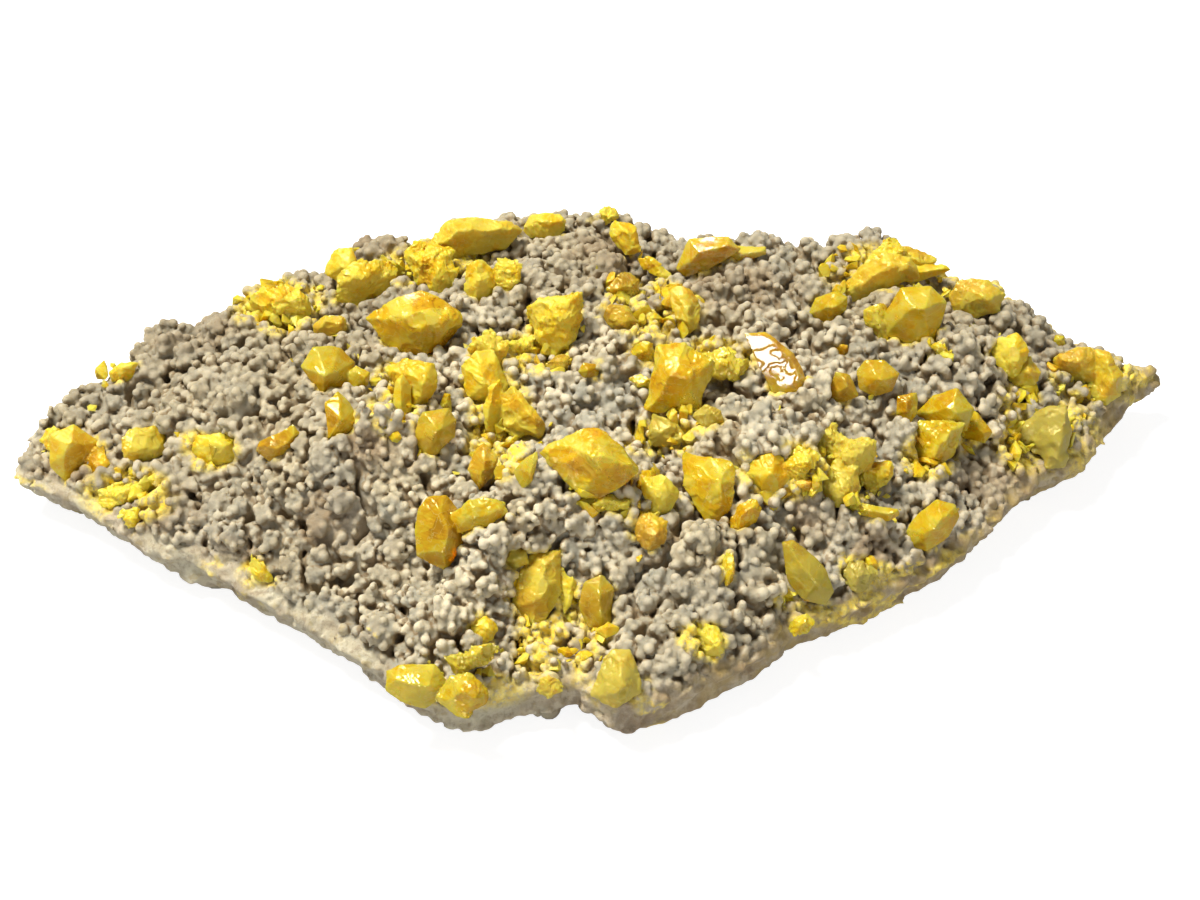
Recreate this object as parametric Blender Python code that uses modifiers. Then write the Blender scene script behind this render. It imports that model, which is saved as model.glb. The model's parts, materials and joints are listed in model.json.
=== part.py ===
"""Native sulfur crystals on a plate of limestone crusted with knobbly
aragonite, a cabinet specimen about 215 mm long.

One object for the matrix (the stone plate with the crust that grew on it) and
one for each sulfur crystal, or for each group whose crystals have grown
together.  Metres, +Z up.  The origin is under the middle of the plate, on the
flat that the plate rests on.  Each crystal sits in a socket of the matrix that
fits it with SOCKET_GAP to spare.
"""
import math

import bmesh
import bpy
import numpy as np
from mathutils import Vector

MM = 0.001
SOCKET_GAP = 0.35           # mm between a crystal and the matrix around it
PRISM_HEIGHT = 26.0         # mm, the blank that the plate is shaped from
VOXEL = 2.3                 # mm, spacing of the blank's points
PLATE_FACES = 2100          # faces kept on the plate before the sockets
CRUST_CLEAR = 0.6           # mm that the solid lies below the crust's knob tips

# ---------------------------------------------------------------- the plate
# The specimen is described on its display drawing: a grid of 1200 x 900 units
# of about 0.185 mm, looked at from the front and 42 degrees above.  Points of
# the drawing are brought onto the plate by following the line of sight down
# to its surface.
SIGHT_RISE = math.radians(42.0)
SIGHT_AWAY = 560.0          # mm from the eye to the middle of the plate
GRID = 0.185                # mm a unit there
FOCAL = SIGHT_AWAY / GRID
S_RIGHT = np.array([1.0, 0.0, 0.0])
S_UP = np.array([0.0, math.sin(SIGHT_RISE), math.cos(SIGHT_RISE)])
S_OUT = np.array([0.0, -math.cos(SIGHT_RISE), math.sin(SIGHT_RISE)])
MIDDLE = np.array([1.2, 3.6, 14.0])
EYE = MIDDLE + S_OUT * SIGHT_AWAY

# Outline of the plate at its widest level, mm, anticlockwise from the left tip.
OUTLINE = [
    (-107, 5.5), (-99, 1), (-87, -8), (-77, -16.5), (-72, -18), (-60.5, -27.5),
    (-50, -35.5), (-41, -43), (-29, -53), (-21, -55.5), (-14, -52), (-8, -51.5),
    (-3, -49.5), (5, -55.5), (12, -54.5), (23, -48), (31, -41.5), (37.5, -35.5),
    (44, -33), (59, -23.5), (66.5, -16.5), (71, -12), (82, 2), (90, 5.5),
    (94.5, 13), (102.5, 24.5), (108, 30), (102, 29.5), (94, 31), (89, 32.5),
    (86, 36), (81, 38), (76, 40.5), (68, 42.5), (59, 48.5), (53.5, 51.5),
    (44.5, 48.5), (37.5, 49.5), (27, 51.5), (17, 51.5), (8, 56.5), (-1, 59.5),
    (-12, 59), (-20, 57.5), (-28, 57), (-33, 50.5), (-40, 51.5), (-46, 49.5),
    (-51, 42.5), (-58, 41.5), (-64, 38.5), (-72, 35.5), (-76, 33.5), (-81, 35),
    (-85, 33.5), (-85, 30.5), (-87, 28), (-87, 25.5), (-92, 23.5), (-97.5, 21.5),
    (-101.5, 18), (-104, 15), (-105.5, 10),
]

# Knolls and hollows of the crust: drawing position, radius and height in mm.
KNOLLS = [
    (375, 243, 6, 3.0), (166, 330, 6, 3.0), (196, 326, 6, 2.5), (228, 338, 6, 2.0),
    (335, 520, 16, 4.5), (385, 452, 10, 5.0), (480, 530, 7, 4.0), (520, 502, 7, 3.5),
    (600, 525, 8, 4.5), (560, 512, 7, 3.0), (600, 395, 9, 4.5), (592, 330, 7, 4.5),
    (480, 318, 6, 2.5), (520, 292, 7, 2.5), (602, 258, 8, 4.0), (740, 292, 11, 3.0),
    (850, 254, 8, 3.0), (790, 402, 7, 3.0), (700, 437, 8, 2.5), (762, 450, 7, 3.0),
    (820, 512, 9, 5.5), (880, 545, 10, 5.5), (700, 590, 12, 3.0), (760, 600, 9, 3.0),
    (650, 622, 7, 2.5), (161, 506, 8, 4.0), (225, 552, 9, 3.0), (940, 362, 10, 2.0),
    (980, 392, 8, 2.5), (1015, 328, 8, 2.5), (925, 482, 9, 2.5), (286, 500, 9, 2.5),
    (330, 600, 10, 2.5), (430, 640, 9, 2.5), (640, 670, 9, 2.0), (1010, 470, 8, 2.0),
    (248, 390, 12, 1.5), (300, 425, 6, 2.0), (560, 440, 6, 1.5), (742, 545, 7, 2.5),
    (1128, 374, 6, 1.5), (100, 420, 9, 1.5),
    (372, 562, 9, -4.0), (690, 505, 7, -4.0), (520, 432, 7, -4.0), (640, 442, 7, -3.0),
    (700, 462, 6, -3.0), (590, 415, 6, -2.0), (872, 500, 6, -3.0), (778, 540, 6, -4.0),
    (640, 562, 9, -3.5), (400, 478, 6, -3.0), (600, 553, 7, -3.5), (545, 590, 10, -4.5),
    (470, 430, 7, -3.0), (395, 330, 8, -1.5), (715, 330, 8, -2.5), (560, 360, 7, -2.5),
    (440, 560, 7, -3.0), (300, 400, 7, -2.0), (960, 450, 8, -2.5), (840, 350, 7, -2.0),
    (205, 480, 7, -2.0), (470, 480, 6, -3.0), (1000, 415, 7, -2.0), (900, 345, 7, -1.5),
]


def ease(a, b, v):
    t = np.clip((v - a) / (b - a), 0.0, 1.0)
    return t * t * (3.0 - 2.0 * t)


def outline_points(steps=3):
    """The outline as a closed run of points on a smooth curve (Catmull-Rom)."""
    ring = np.array(OUTLINE, float)
    p0, p1, p2, p3 = (np.roll(ring, k, axis=0) for k in (1, 0, -1, -2))
    rows = []
    for i in range(steps):
        t = i / steps
        rows.append(0.5 * (2 * p1 + (p2 - p0) * t + (2 * p0 - 5 * p1 + 4 * p2 - p3) * t * t
                           + (3 * p1 - p0 - 3 * p2 + p3) * t ** 3))
    return np.stack(rows, axis=1).reshape(-1, 2)


RING = outline_points()


def inset_from_edge(x, y):
    """Distance in mm from the outline, positive inside it, for arrays of points."""
    x = np.asarray(x, float)
    y = np.asarray(y, float)
    best = np.full(x.shape, 1e9)
    inside = np.zeros(x.shape, bool)
    for (ax, ay), (bx, by) in zip(RING, np.roll(RING, -1, axis=0)):
        ex, ey = bx - ax, by - ay
        wx, wy = x - ax, y - ay
        t = np.clip((wx * ex + wy * ey) / (ex * ex + ey * ey), 0.0, 1.0)
        best = np.minimum(best, (wx - ex * t) ** 2 + (wy - ey * t) ** 2)
        if ay != by:
            inside ^= ((ay > y) != (by > y)) & (x < ax + ex * (y - ay) / (by - ay))
    return np.where(inside, 1.0, -1.0) * np.sqrt(best)


def plain_top(x, y, d):
    """Height of the plate's top before its knolls: thin at the front rim and
    the two tips, thickest along the back."""
    back = ease(-8.0, 47.0, y)
    ends = ease(60.0, 108.0, np.abs(x))
    rim = 11.0 + (17.0 * back * (1.0 - 0.7 * ends)
                  + 3.0 * ease(-3.0, 17.0, y) * ease(-70.0, -90.0, x))
    crown = 27.5 + 3.5 * back - 9.0 * ends
    return rim + (crown - rim) * ease(0.0, 32.0, d)


def follow_sight(u, v, lift, top):
    """Where the line of sight through (u, v) comes within `lift` of the top."""
    ray = S_RIGHT * (u - 600.0) / FOCAL + S_UP * (450.0 - v) / FOCAL - S_OUT
    t = np.arange(440.0, 680.0, 0.2)
    p = EYE[:, None] + ray[:, None] * t
    below = p[2] - lift <= top(p[0], p[1], inset_from_edge(p[0], p[1]))
    k = int(np.argmax(below)) if below.any() else int(np.argmin(np.abs(p[2] - lift)))
    return p[:, k], ray, t[k]


KNOLL_SPOTS = [
    (*follow_sight(u, v, 0.0, plain_top)[0][:2], r, h) for u, v, r, h in KNOLLS
]


def crust_top(x, y, d):
    """Height of the plate's top with its knolls and hollows."""
    z = plain_top(x, y, d)
    for kx, ky, r, h in KNOLL_SPOTS:
        q = ((x - kx) ** 2 + (y - ky) ** 2) / (r * r)
        z = z + h * np.exp(-0.9 * q) * ease(-1.0, 6.0, d)
    return z


def wall_inset(z):
    """How far the broken side stands in from the outline at height z."""
    return 5.6 * (1.0 - ease(0.0, 4.0, z)) + 0.10 * np.clip(z - 6.0, 0.0, None) - 0.9


def tip_draw(z):
    """The two tips overhang: a level's length as a share of the outline's."""
    return 1.0 - 0.085 * (1.0 - ease(0.0, 9.0, z))


# ------------------------------------------------------------- the crystals
# Each crystal: its name, the node it belongs to, the corners of its girdle on
# the drawing with, after each corner, how far the face on the next edge turns
# towards the viewer (degrees; 90 lies square to the sight), the lean of the
# girdle (right, up), the heights of the front and back caps as a share of its
# size, the share of its height that it stands above the crust (or the crystal
# that it is set beside, and how far out from it in mm), and its habit.
#   gem     clean faces           broken  conchoidal chips
#   etched  pitted, softened      ragged  stepped sheets and torn edges
CRYSTALS = [
    ("left_tip_blade", "left_tip_group", [(33, 440, 50), (52, 425, 60), (68, 434, 40), (62, 456, 45)], (0.3, 0.2), 0.30, 0.50, 0.30, "ragged"),
    ("left_tip_crystal", "left_tip_group", [(50, 436, 55), (73, 425, 50), (98, 442, 45), (95, 459, 50), (66, 481, 55), (50, 463, 60)], (-0.2, 0.2), 0.38, 0.45, 0.26, "gem"),
    ("left_tip_brown", "left_tip_group", [(74, 456, 60), (102, 447, 50), (110, 464, 45), (96, 474, 50)], (0.4, -0.2), 0.35, 0.40, 0.22, "broken"),
    ("left_shoulder", "left_shoulder_crystal", [(107, 372, 45), (122, 360, 45), (139, 362, 50), (133, 380, 50), (111, 386, 55)], (0.2, 0.3), 0.40, 0.45, 0.25, "etched"),
    ("squat_left", "squat_left_crystal", [(121, 443, 55), (131, 426, 60), (153, 423, 50), (168, 434, 40), (165, 456, 45), (148, 463, 50), (123, 459, 45)], (-0.3, -0.1), 0.30, 0.50, 0.26, "etched"),
    ("left_pair_big", "left_pair", [(188, 452, 60), (196, 434, 50), (219, 430, 50), (237, 440, 45), (234, 466, 50), (205, 466, 55)], (0.2, 0.1), 0.36, 0.42, 0.22, "etched"),
    ("wedge", "wedge_crystal", [(255, 452, 40), (259, 442, 64), (293, 424, 55), (301, 434, 40), (287, 453, 42), (271, 465, 45)], (0.2, 0.3), 0.40, 0.45, 0.28, "gem"),
    ("amber", "amber_crystal", [(302, 367, 62), (314, 348, 60), (339, 348, 50), (354, 362, 40), (350, 383, 40), (322, 398, 42)], (-0.25, 0.1), 0.42, 0.45, 0.33, "gem"),
    ("bright_gem", "amber_crystal", [(344, 374, 50), (357, 365, 50), (370, 373, 45), (368, 386, 45), (352, 389, 50)], (0.3, 0.1), 0.45, 0.45, 0.35, "gem"),
    ("tall_pale", "tall_pale_crystal", [(324, 403, 64), (337, 391, 50), (350, 402, 42), (359, 421, 40), (351, 432, 45), (328, 440, 55)], (-0.2, 0.0), 0.36, 0.40, 0.28, "gem"),
    ("pale_round", "pale_round_crystal", [(312, 324, 50), (325, 312, 50), (343, 314, 50), (347, 328, 45), (336, 338, 50), (317, 337, 50)], (0.1, 0.2), 0.40, 0.45, 0.24, "etched"),
    ("ragged_left_back", "ragged_left_back_mass", [(240, 308, 60), (262, 289, 55), (292, 281, 50), (309, 296, 45), (312, 316, 45), (290, 331, 50), (258, 324, 55)], (0.1, 0.2), 0.26, 0.35, 0.20, "ragged"),
    ("back_left_small", "ragged_left_top_mass", [(325, 272, 50), (332, 251, 50), (352, 248, 50), (358, 268, 45), (342, 284, 50)], (0.3, 0.0), 0.40, 0.60, ("ragged_left_top", -1.5), "etched"),
    ("ragged_left_top", "ragged_left_top_mass", [(334, 300, 60), (340, 273, 50), (351, 258, 55), (381, 256, 50), (398, 271, 40), (390, 290, 45), (372, 305, 45)], (-0.2, 0.2), 0.34, 0.40, 0.30, "ragged"),
    ("great_left", "great_left_crystal", [(361, 319, 55), (384, 301, 52), (416, 286, 50), (440, 296, 45), (462, 311, 42), (466, 328, 42), (450, 347, 45), (421, 359, 48), (394, 351, 50)], (0.15, 0.15), 0.34, 0.36, 0.30, "broken"),
    ("back_mass_left", "back_ridge_mass", [(402, 252, 55), (430, 236, 50), (456, 254, 45), (458, 286, 45), (438, 296, 50), (412, 282, 50)], (0.1, -0.1), 0.34, 0.50, 0.22, "ragged"),
    ("skyline_mass", "back_ridge_mass", [(431, 244, 50), (447, 222, 45), (470, 218, 40), (506, 220, 40), (521, 231, 45), (505, 250, 50), (448, 262, 50)], (-0.1, 0.2), 0.45, 0.55, ("back_mass_left", -4.0), "etched"),
    ("skyline_middle", "skyline_middle_mass", [(520, 229, 50), (532, 213, 40), (557, 212, 40), (569, 221, 45), (560, 238, 50), (531, 240, 50)], (0.1, 0.1), 0.50, 0.55, 0.20, "etched"),
    ("skyline_patch_west", "skyline_patch_west", [(592, 220, 50), (598, 207, 40), (616, 208, 40), (623, 220, 45), (610, 229, 50)], (0.0, 0.2), 0.50, 0.60, 0.20, "ragged"),
    ("skyline_patch_east", "skyline_patch_east", [(608, 232, 50), (612, 216, 45), (640, 226, 45), (640, 250, 50), (625, 257, 50)], (0.2, 0.0), 0.35, 0.60, 0.20, "etched"),
    ("pair_west", "back_pair", [(463, 288, 50), (466, 266, 50), (482, 260, 45), (497, 272, 42), (495, 293, 45), (479, 304, 50)], (-0.2, 0.1), 0.40, 0.45, 0.30, "etched"),
    ("pair_east", "back_pair", [(493, 278, 50), (497, 259, 45), (513, 255, 45), (524, 268, 40), (519, 288, 45), (505, 294, 50)], (0.3, 0.1), 0.42, 0.45, 0.32, "ragged"),
    ("bright_etched", "bright_etched_crystal", [(519, 310, 55), (531, 299, 50), (557, 290, 50), (584, 290, 45), (589, 306, 40), (577, 336, 42), (560, 358, 45), (543, 354, 50), (528, 338, 50)], (0.1, 0.25), 0.34, 0.38, 0.32, "ragged"),
    ("bright_flake", "bright_etched_crystal", [(504, 346, 55), (516, 334, 50), (534, 334, 45), (536, 357, 50), (513, 361, 55)], (-0.3, 0.1), 0.35, 0.50, 0.25, "ragged"),
    ("arch_mass", "arch_group", [(470, 345, 55), (480, 331, 50), (497, 330, 45), (507, 345, 45), (504, 374, 45), (476, 376, 50)], (0.1, 0.2), 0.35, 0.50, 0.28, "ragged"),
    ("arch_block", "arch_group", [(462, 366, 60), (476, 351, 55), (494, 351, 45), (508, 378, 40), (503, 404, 45), (467, 398, 50)], (-0.1, 0.1), 0.36, 0.60, 0.26, "broken"),
    ("fan_west", "arch_group", [(484, 432, 50), (486, 386, 50), (500, 378, 45), (510, 402, 45), (508, 436, 50)], (-0.5, 0.2), 0.60, 0.50, 0.22, "broken"),
    ("fan_east", "arch_group", [(500, 428, 55), (498, 392, 50), (514, 386, 45), (532, 404, 42), (546, 425, 42), (540, 439, 50), (516, 441, 50)], (0.3, 0.2), 0.36, 0.50, 0.24, "broken"),
    ("twin_east", "twin_crystals", [(386, 368, 55), (392, 361, 55), (411, 358, 50), (435, 365, 42), (438, 384, 40), (427, 403, 42), (410, 414, 50)], (0.1, 0.0), 0.36, 0.42, 0.30, "etched"),
    ("twin_west", "twin_crystals", [(392, 402, 58), (395, 383, 52), (403, 375, 50), (411, 386, 42), (412, 408, 40), (404, 426, 45), (396, 420, 52)], (-0.3, 0.1), 0.75, 0.80, ("twin_east", 2.5), "gem"),
    ("gem", "gem_crystal", [(413, 438, 52), (416, 423, 50), (422, 411, 52), (449, 408, 48), (458, 420, 42), (456, 436, 42), (434, 457, 45), (422, 455, 48)], (0.0, 0.1), 0.36, 0.42, 0.34, "gem"),
    ("low_gem", "low_gem_crystal", [(467, 472, 52), (470, 455, 52), (484, 441, 50), (499, 458, 42), (495, 477, 42), (478, 492, 48)], (-0.1, 0.0), 0.34, 0.40, 0.28, "broken"),
    ("thin_blade", "thin_blade_crystal", [(541, 448, 42), (534, 479, 45), (522, 491, 50), (513, 471, 62), (524, 458, 60)], (0.3, 0.3), 0.30, 0.32, 0.26, "gem"),
    ("great_dipyramid", "great_dipyramid", [(540, 453, 52), (572, 434, 50), (603, 430, 48), (639, 461, 44), (635, 472, 48), (597, 501, 50), (578, 494, 52), (561, 476, 52)], (0.1, 0.1), 0.33, 0.34, 0.34, "broken"),
    ("dipyramid_foot", "great_dipyramid", [(591, 494, 50), (612, 482, 50), (629, 492, 45), (632, 509, 50), (612, 508, 55)], (0.0, -0.2), 0.45, 0.35, 0.20, "ragged"),
    ("pale_flake", "pale_flake_crystal", [(639, 490, 55), (643, 474, 55), (663, 471, 50), (679, 487, 42), (676, 508, 45), (655, 522, 50)], (-0.2, 0.1), 0.30, 0.38, 0.30, "etched"),
    ("deep_amber", "deep_amber_crystal", [(632, 535, 55), (636, 516, 50), (655, 511, 50), (669, 522, 45), (665, 545, 50), (645, 551, 50)], (0.1, -0.1), 0.36, 0.45, 0.18, "etched"),
    ("blocky_great", "blocky_great_crystal", [(647, 409, 42), (653, 364, 42), (657, 346, 52), (684, 344, 54), (711, 362, 46), (709, 383, 44), (699, 409, 50), (677, 412, 54)], (0.05, 0.1), 0.30, 0.50, 0.36, "broken"),
    ("fringe_mass", "blocky_great_crystal", [(690, 352, 55), (722, 344, 50), (746, 360, 45), (744, 378, 45), (722, 386, 50), (692, 384, 50)], (0.2, 0.2), 0.26, 0.50, ("blocky_great", -4.0), "ragged"),
    ("back_tilt", "back_tilt_crystal", [(605, 290, 64), (624, 272, 55), (643, 281, 42), (638, 298, 45), (618, 300, 50)], (-0.3, 0.3), 0.38, 0.45, 0.28, "broken"),
    ("back_chunk", "back_chunk_crystal", [(601, 318, 55), (612, 303, 50), (630, 304, 50), (640, 320, 45), (630, 333, 50), (608, 330, 50)], (0.2, 0.0), 0.36, 0.42, 0.22, "broken"),
    ("hanging", "hanging_crystal", [(669, 290, 55), (676, 284, 50), (690, 286, 45), (702, 306, 42), (699, 327, 45), (683, 341, 50), (674, 325, 55)], (-0.1, -0.2), 0.34, 0.42, 0.24, "etched"),
    ("skyline_gem", "skyline_gem_crystal", [(678, 268, 50), (690, 240, 62), (727, 237, 50), (739, 249, 42), (733, 261, 45), (711, 268, 50), (692, 280, 50)], (0.1, 0.3), 0.40, 0.45, 0.30, "gem"),
    ("skyline_small", "skyline_gem_crystal", [(724, 256, 50), (728, 246, 50), (765, 246, 45), (765, 255, 50), (738, 263, 50)], (0.0, 0.0), 0.60, 0.60, ("skyline_gem", -1.0), "gem"),
    ("mirror_gem", "mirror_gem_crystal", [(743, 333, 46), (766, 331, 48), (794, 352, 44), (808, 381, 40), (797, 394, 46), (773, 394, 50)], (-0.1, 0.2), 0.46, 0.42, 0.36, "gem"),
    ("olive_translucent", "olive_translucent_crystal", [(643, 432, 60), (655, 414, 55), (682, 416, 50), (692, 430, 50), (680, 446, 55), (654, 448, 60)], (0.0, 0.1), 0.28, 0.36, 0.18, "etched"),
    ("back_right_small", "back_right_small_crystal", [(808, 316, 52), (814, 298, 50), (835, 291, 50), (849, 297, 42), (846, 312, 42), (826, 324, 48)], (0.1, 0.1), 0.42, 0.45, 0.32, "gem"),
    ("right_back_mass", "right_back_mass", [(840, 292, 58), (857, 268, 55), (883, 252, 50), (910, 256, 45), (918, 277, 45), (878, 295, 50), (852, 304, 52)], (0.1, 0.2), 0.30, 0.50, 0.28, "etched"),
    ("right_skyline", "right_back_mass", [(864, 256, 50), (880, 241, 45), (893, 239, 45), (912, 252, 45), (914, 272, 50), (876, 276, 50)], (0.1, 0.1), 0.45, 0.55, 0.22, "ragged"),
    ("right_finger", "right_back_mass", [(896, 266, 50), (943, 264, 45), (948, 271, 45), (922, 281, 50), (896, 282, 50)], (0.1, 0.1), 0.60, 0.60, 0.30, "gem"),
    ("great_right_back", "great_right_back_crystal", [(886, 334, 52), (887, 312, 50), (901, 289, 52), (930, 287, 48), (945, 303, 42), (940, 322, 42), (933, 343, 48), (911, 343, 52)], (0.0, 0.2), 0.36, 0.40, 0.34, "gem"),
    ("great_right_side", "great_right_back_crystal", [(864, 308, 55), (883, 302, 50), (898, 325, 45), (884, 344, 50), (866, 328, 55)], (-0.2, 0.1), 0.42, 0.50, 0.22, "etched"),
    ("smooth_right", "smooth_right_mass", [(947, 296, 55), (959, 278, 52), (985, 277, 48), (1006, 295, 45), (1001, 313, 48), (974, 321, 52), (952, 311, 55)], (0.1, 0.1), 0.30, 0.40, 0.20, "etched"),
    ("round_east", "round_east_crystal", [(855, 373, 55), (865, 360, 52), (885, 360, 50), (899, 374, 44), (892, 391, 44), (874, 397, 48), (859, 389, 50)], (0.1, 0.0), 0.40, 0.45, 0.32, "gem"),
    ("round_west", "round_west_crystal", [(826, 395, 60), (835, 371, 52), (849, 374, 42), (860, 396, 40), (846, 402, 50), (830, 403, 55)], (0.1, 0.2), 0.44, 0.46, 0.30, "gem"),
    ("right_chip", "right_chip_crystal", [(896, 414, 52), (897, 396, 50), (917, 393, 46), (918, 411, 42), (910, 425, 48)], (-0.2, 0.1), 0.42, 0.48, 0.30, "gem"),
    ("big_right", "big_right_crystals", [(915, 416, 52), (933, 396, 54), (957, 389, 50), (973, 409, 42), (966, 430, 44), (940, 438, 50)], (0.1, 0.2), 0.38, 0.55, 0.36, "gem"),
    ("big_right_lower", "big_right_crystals", [(913, 450, 55), (917, 422, 52), (966, 420, 48), (955, 452, 44), (938, 469, 48), (918, 470, 54)], (0.0, 0.0), 0.34, 0.50, 0.24, "etched"),
    ("big_right_side", "big_right_crystals", [(956, 416, 50), (976, 411, 46), (992, 433, 42), (985, 443, 48), (958, 438, 52)], (0.3, 0.0), 0.40, 0.45, 0.24, "gem"),
    ("rounded_yellow", "rounded_yellow_crystal", [(990, 352, 52), (999, 336, 50), (1016, 332, 48), (1029, 345, 44), (1028, 363, 44), (1014, 378, 48), (996, 369, 52)], (0.1, 0.1), 0.40, 0.45, 0.28, "etched"),
    ("right_end_long", "right_end_crystals", [(1044, 364, 52), (1056, 352, 50), (1090, 347, 48), (1099, 362, 45), (1096, 385, 45), (1072, 380, 50)], (-0.1, 0.2), 0.32, 0.40, 0.26, "etched"),
    ("right_end_amber", "right_end_crystals", [(1088, 372, 52), (1093, 350, 50), (1110, 353, 46), (1124, 376, 42), (1120, 396, 44), (1104, 405, 48), (1090, 394, 52)], (0.2, 0.1), 0.36, 0.42, 0.26, "etched"),
    ("olive_right", "olive_right_mass", [(1012, 446, 62), (1020, 420, 58), (1042, 398, 52), (1066, 402, 46), (1078, 425, 44), (1076, 452, 46), (1060, 470, 50), (1030, 466, 58)], (0.1, 0.1), 0.24, 0.34, 0.16, "etched"),
    ("broken_great", "broken_great_crystal", [(680, 446, 52), (708, 454, 52), (735, 462, 46), (740, 475, 42), (735, 496, 42), (722, 522, 48), (704, 522, 54), (693, 508, 54), (682, 482, 52)], (0.1, 0.0), 0.34, 0.36, 0.30, "broken"),
    ("amber_below", "amber_below_crystal", [(728, 526, 50), (735, 505, 52), (755, 496, 48), (764, 508, 42), (757, 522, 44), (737, 537, 48)], (0.0, 0.1), 0.36, 0.42, 0.28, "broken"),
    ("middle_west", "middle_pair", [(745, 475, 54), (758, 456, 52), (780, 455, 48), (789, 472, 44), (780, 491, 48), (758, 493, 54)], (0.0, 0.1), 0.34, 0.42, 0.26, "etched"),
    ("middle_east", "middle_pair", [(779, 462, 54), (796, 443, 52), (816, 448, 46), (819, 467, 44), (803, 482, 48), (784, 478, 52)], (0.1, 0.1), 0.34, 0.42, 0.28, "ragged"),
    ("translucent_great", "translucent_group", [(816, 448, 54), (822, 431, 52), (836, 420, 50), (863, 421, 46), (878, 438, 42), (875, 462, 44), (858, 479, 48), (832, 474, 54)], (0.1, 0.1), 0.32, 0.38, 0.30, "ragged"),
    ("translucent_foot", "translucent_group", [(820, 480, 55), (834, 460, 50), (860, 466, 46), (861, 500, 48), (842, 508, 52), (824, 499, 56)], (0.0, -0.1), 0.36, 0.55, ("translucent_great", 1.5), "etched"),
    ("translucent_flake", "translucent_group", [(850, 484, 54), (856, 462, 52), (892, 463, 44), (890, 484, 44), (872, 496, 50)], (0.2, 0.1), 0.35, 0.50, 0.24, "ragged"),
    ("lying_prism", "lying_prism_crystal", [(847, 507, 60), (858, 502, 58), (898, 508, 44), (901, 515, 44), (889, 522, 48), (856, 515, 55)], (0.1, 0.2), 0.70, 0.60, 0.40, "gem"),
    ("rim_crystal", "rim_crystal", [(905, 532, 54), (919, 511, 54), (936, 499, 48), (956, 505, 42), (960, 518, 42), (949, 538, 44), (927, 552, 50), (911, 547, 54)], (0.0, 0.1), 0.34, 0.40, 0.30, "gem"),
    ("shield", "shield_crystal", [(781, 541, 52), (792, 539, 48), (812, 553, 44), (828, 571, 42), (835, 592, 44), (826, 605, 50), (803, 601, 54), (787, 580, 54)], (-0.1, 0.1), 0.28, 0.36, 0.28, "gem"),
    ("dull_under", "dull_under_crystal", [(840, 577, 60), (845, 558, 55), (868, 561, 50), (884, 580, 50), (856, 594, 60)], (0.0, 0.0), 0.32, 0.42, 0.16, "etched"),
    ("front_right_pair", "front_right_pair", [(692, 636, 54), (697, 621, 52), (711, 619, 48), (726, 634, 44), (728, 649, 46), (714, 661, 50), (698, 650, 54)], (0.1, 0.0), 0.36, 0.45, 0.24, "ragged"),
    ("orange_gem", "orange_gem_crystal", [(416, 530, 66), (419, 510, 60), (427, 498, 54), (446, 496, 46), (464, 519, 36), (462, 545, 36), (447, 571, 44), (418, 555, 50)], (-0.15, 0.1), 0.40, 0.44, 0.34, "gem"),
    ("orange_neighbour", "orange_gem_crystal", [(448, 518, 60), (470, 500, 56), (500, 500, 48), (509, 512, 46), (492, 526, 52), (456, 532, 56)], (0.1, 0.2), 0.38, 0.50, 0.22, "etched"),
    ("vug_amber", "vug_group", [(506, 560, 54), (511, 549, 50), (526, 549, 46), (530, 563, 46), (514, 570, 52)], (0.1, 0.1), 0.42, 0.48, 0.20, "etched"),
    ("vug_main", "vug_group", [(512, 605, 54), (519, 574, 52), (534, 553, 50), (559, 553, 46), (562, 585, 44), (552, 617, 48), (530, 625, 54)], (0.0, 0.0), 0.30, 0.36, 0.24, "broken"),
    ("vug_pale", "vug_group", [(556, 590, 54), (560, 564, 50), (577, 578, 42), (575, 600, 44), (563, 618, 50)], (0.3, 0.1), 0.55, 0.45, 0.30, "etched"),
    ("egg", "egg_crystal", [(578, 607, 52), (584, 582, 52), (602, 574, 48), (615, 590, 42), (612, 622, 44), (600, 633, 50), (588, 628, 54)], (0.0, 0.1), 0.36, 0.42, 0.26, "gem"),
    ("front_left", "front_left_crystals", [(387, 690, 52), (388, 671, 54), (404, 665, 56), (435, 665, 48), (446, 682, 42), (443, 695, 44), (424, 708, 48), (403, 702, 52)], (0.0, 0.1), 0.36, 0.50, 0.30, "gem"),
    ("front_left_second", "front_left_crystals", [(436, 700, 52), (448, 677, 52), (468, 672, 50), (488, 688, 44), (487, 702, 46), (469, 718, 50), (448, 710, 52)], (0.1, 0.1), 0.34, 0.50, 0.28, "etched"),
    ("front_sheet", "front_left_crystals", [(445, 655, 56), (470, 645, 52), (502, 640, 46), (484, 672, 46), (456, 688, 54)], (0.0, 0.2), 0.22, 0.50, ("front_left_second", -2.0), "ragged"),
    ("front_big_right", "front_big_right_crystal", [(588, 697, 54), (596, 668, 54), (608, 648, 50), (628, 646, 46), (641, 669, 42), (641, 696, 44), (618, 712, 50)], (0.0, 0.0), 0.32, 0.42, 0.24, "etched"),
    ("front_under", "front_under_crystal", [(528, 690, 54), (540, 674, 50), (560, 676, 48), (566, 690, 48), (548, 700, 52)], (0.0, 0.0), 0.36, 0.46, 0.18, "ragged"),
]


# Crystals that have grown together are drawn this much larger, so that they
# run into each other.
GROWN = [c[1] for c in CRYSTALS]
MEET = {node: 1.07 for node in GROWN if GROWN.count(node) > 1}


def sight_frame(u, v):
    """Axes for a crystal at (u, v): right, up and out towards the viewer."""
    out = -(S_RIGHT * (u - 600.0) / FOCAL + S_UP * (450.0 - v) / FOCAL - S_OUT)
    out = out / np.linalg.norm(out)
    right = np.cross(S_UP, out)
    right = right / np.linalg.norm(right)
    return right, np.cross(out, right), out


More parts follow.
